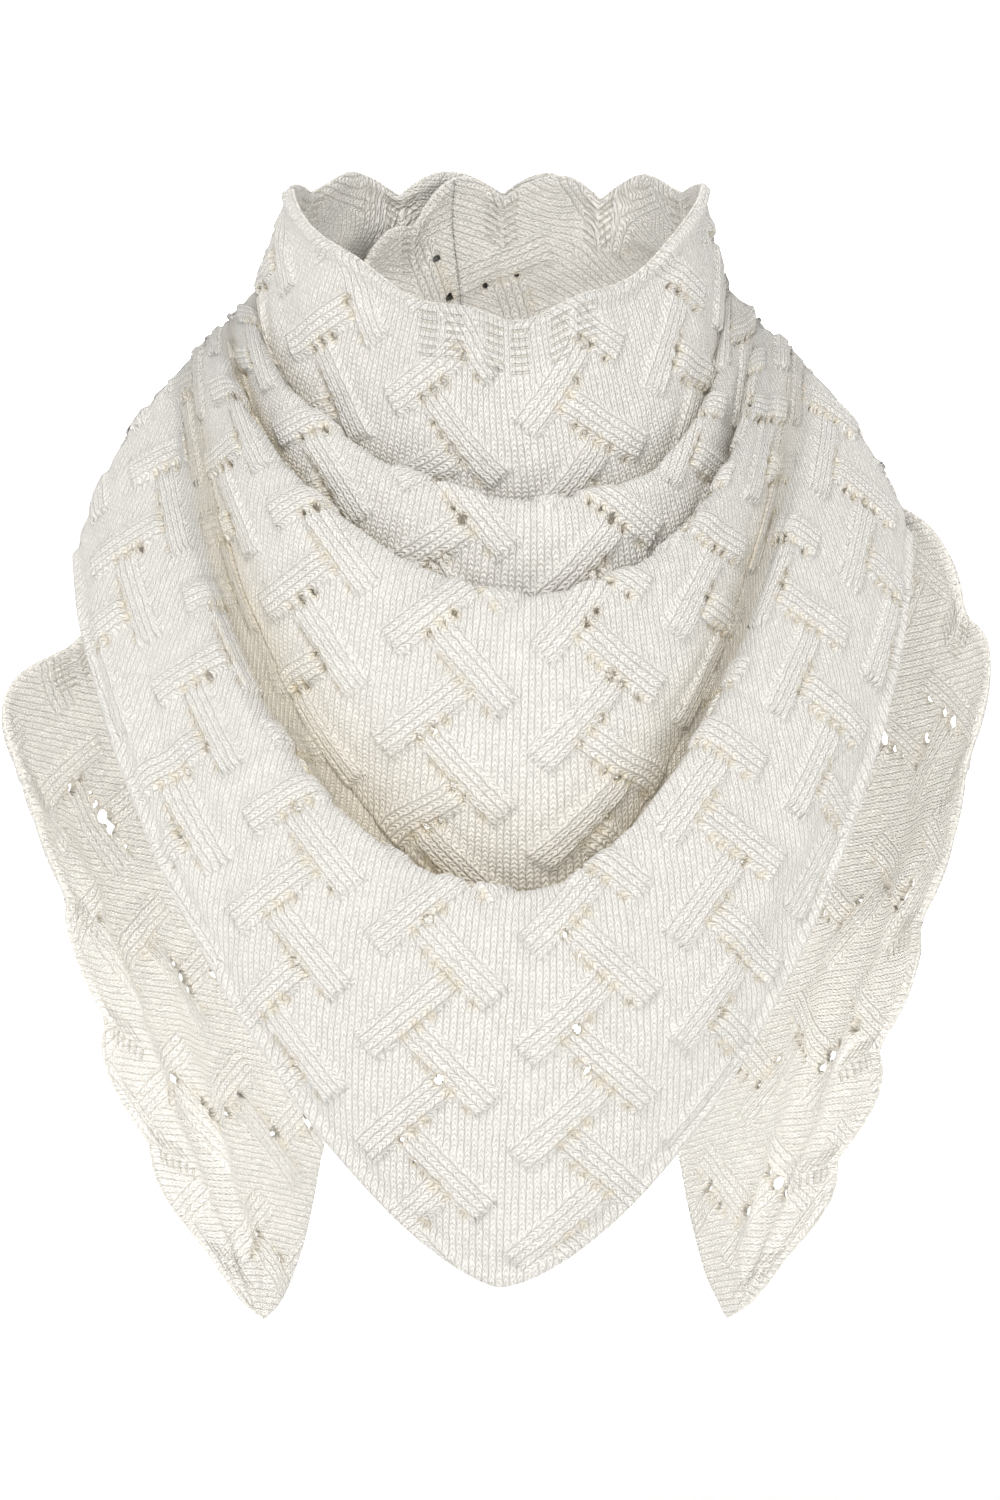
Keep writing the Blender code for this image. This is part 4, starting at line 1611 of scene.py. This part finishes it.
@dataclass(frozen=True)
class Studio:
    """A pale floor, soft light and the photograph's camera, in metres and watts."""

    distance: float = 5.0
    height: float = 0.63
    middle: tuple[float, float] = (0.0, -0.210)
    rise: float = 0.02
    sensor: float = 36.0
    clip_end: float = 50.0
    floor: float = -0.56
    near: float = -8.0
    far: float = 7.0
    top: float = 8.0
    half_width: float = 10.0
    turn: float = 2.0
    turn_start: float = 0.2
    turn_points: int = 8
    room: float = 0.70
    lamp_place: tuple[float, float, float] = (0.0, -0.03, -0.31)
    lamp_radius: float = 0.05
    lamp_power: float = 0.6
    white: tuple[float, float, float] = (0.93, 0.93, 0.93)

    def build(self) -> None:
        """Make the whole studio."""
        self.camera()
        self.backdrop()
        self.lights()

    def camera(self) -> None:
        """Look along +Y from far away, with the frame of the photograph."""
        data = bpy.data.cameras.new("camera")
        data.sensor_width = self.sensor
        data.lens = self.sensor * self.distance / self.height
        data.clip_end = self.clip_end
        thing = bpy.data.objects.new("camera", data)
        x, z = self.middle
        thing.location = (x, -self.distance, z + self.rise * self.distance)
        aim = Vector((x, 0.0, z)) - thing.location
        thing.rotation_euler = aim.to_track_quat("-Z", "Y").to_euler()
        bpy.context.scene.collection.objects.link(thing)
        bpy.context.scene.camera = thing

    def backdrop(self) -> None:
        """A wide sheet that is the floor and rises far behind the scarf."""
        profile = [(self.near, self.floor), (self.far, self.floor)]
        for angle in np.linspace(self.turn_start, math.pi / 2, self.turn_points):
            profile.append((self.far + self.turn * math.sin(angle),
                            self.floor + self.turn * (1 - math.cos(angle))))
        profile.append((self.far + self.turn, self.top))
        points = [(x, y, z) for y, z in profile for x in (-self.half_width, self.half_width)]
        faces = [(2 * i, 2 * i + 1, 2 * i + 3, 2 * i + 2) for i in range(len(profile) - 1)]
        data = bpy.data.meshes.new("floor")
        data.from_pydata(points, [], faces)
        data.shade_smooth()
        material = bpy.data.materials.new("floor_white")
        material.use_nodes = True
        shader = material.node_tree.nodes["Principled BSDF"]
        shader.inputs["Base Color"].default_value = (*self.white, 1.0)
        shader.inputs["Roughness"].default_value = 1.0
        shader.inputs["Specular IOR Level"].default_value = 0.0
        data.materials.append(material)
        thing = bpy.data.objects.new("floor", data)
        bpy.context.scene.collection.objects.link(thing)

    def lights(self) -> None:
        """A white room, the area lights and the small lamp in the hollow."""
        world = bpy.data.worlds.new("room")
        world.use_nodes = True
        world.node_tree.nodes["Background"].inputs["Color"].default_value = (1.0, 1.0, 1.0, 1.0)
        world.node_tree.nodes["Background"].inputs["Strength"].default_value = self.room
        bpy.context.scene.world = world
        bpy.context.scene.view_settings.view_transform = "Standard"
        for lamp in LAMPS:
            self.area(lamp)
        self.hollow_lamp()

    def hollow_lamp(self) -> None:
        """A small soft lamp inside the hollow, which lights the inner sides of the ends."""
        data = bpy.data.lights.new("hollow_lamp", "POINT")
        data.shadow_soft_size = self.lamp_radius
        data.energy = self.lamp_power
        thing = bpy.data.objects.new("hollow_lamp", data)
        thing.location = self.lamp_place
        thing.visible_camera = False
        bpy.context.scene.collection.objects.link(thing)

    def area(self, lamp: Lamp) -> None:
        """Add a square area light."""
        data = bpy.data.lights.new(lamp.name, "AREA")
        data.size = lamp.size
        data.energy = lamp.power
        thing = bpy.data.objects.new(lamp.name, data)
        thing.location = lamp.place
        aim = Vector(lamp.aim) - Vector(lamp.place)
        thing.rotation_euler = aim.to_track_quat("-Z", "Y").to_euler()
        bpy.context.scene.collection.objects.link(thing)


def main() -> None:
    """Build the scarf and its studio."""
    logging.basicConfig(level=logging.INFO, format="%(name)s: %(message)s")
    scarf = Scarf()
    scarf.build()
    scarf.dress()
    Studio().build()
    LOG.info("sizes written")


if __name__ == "__main__":
    main()
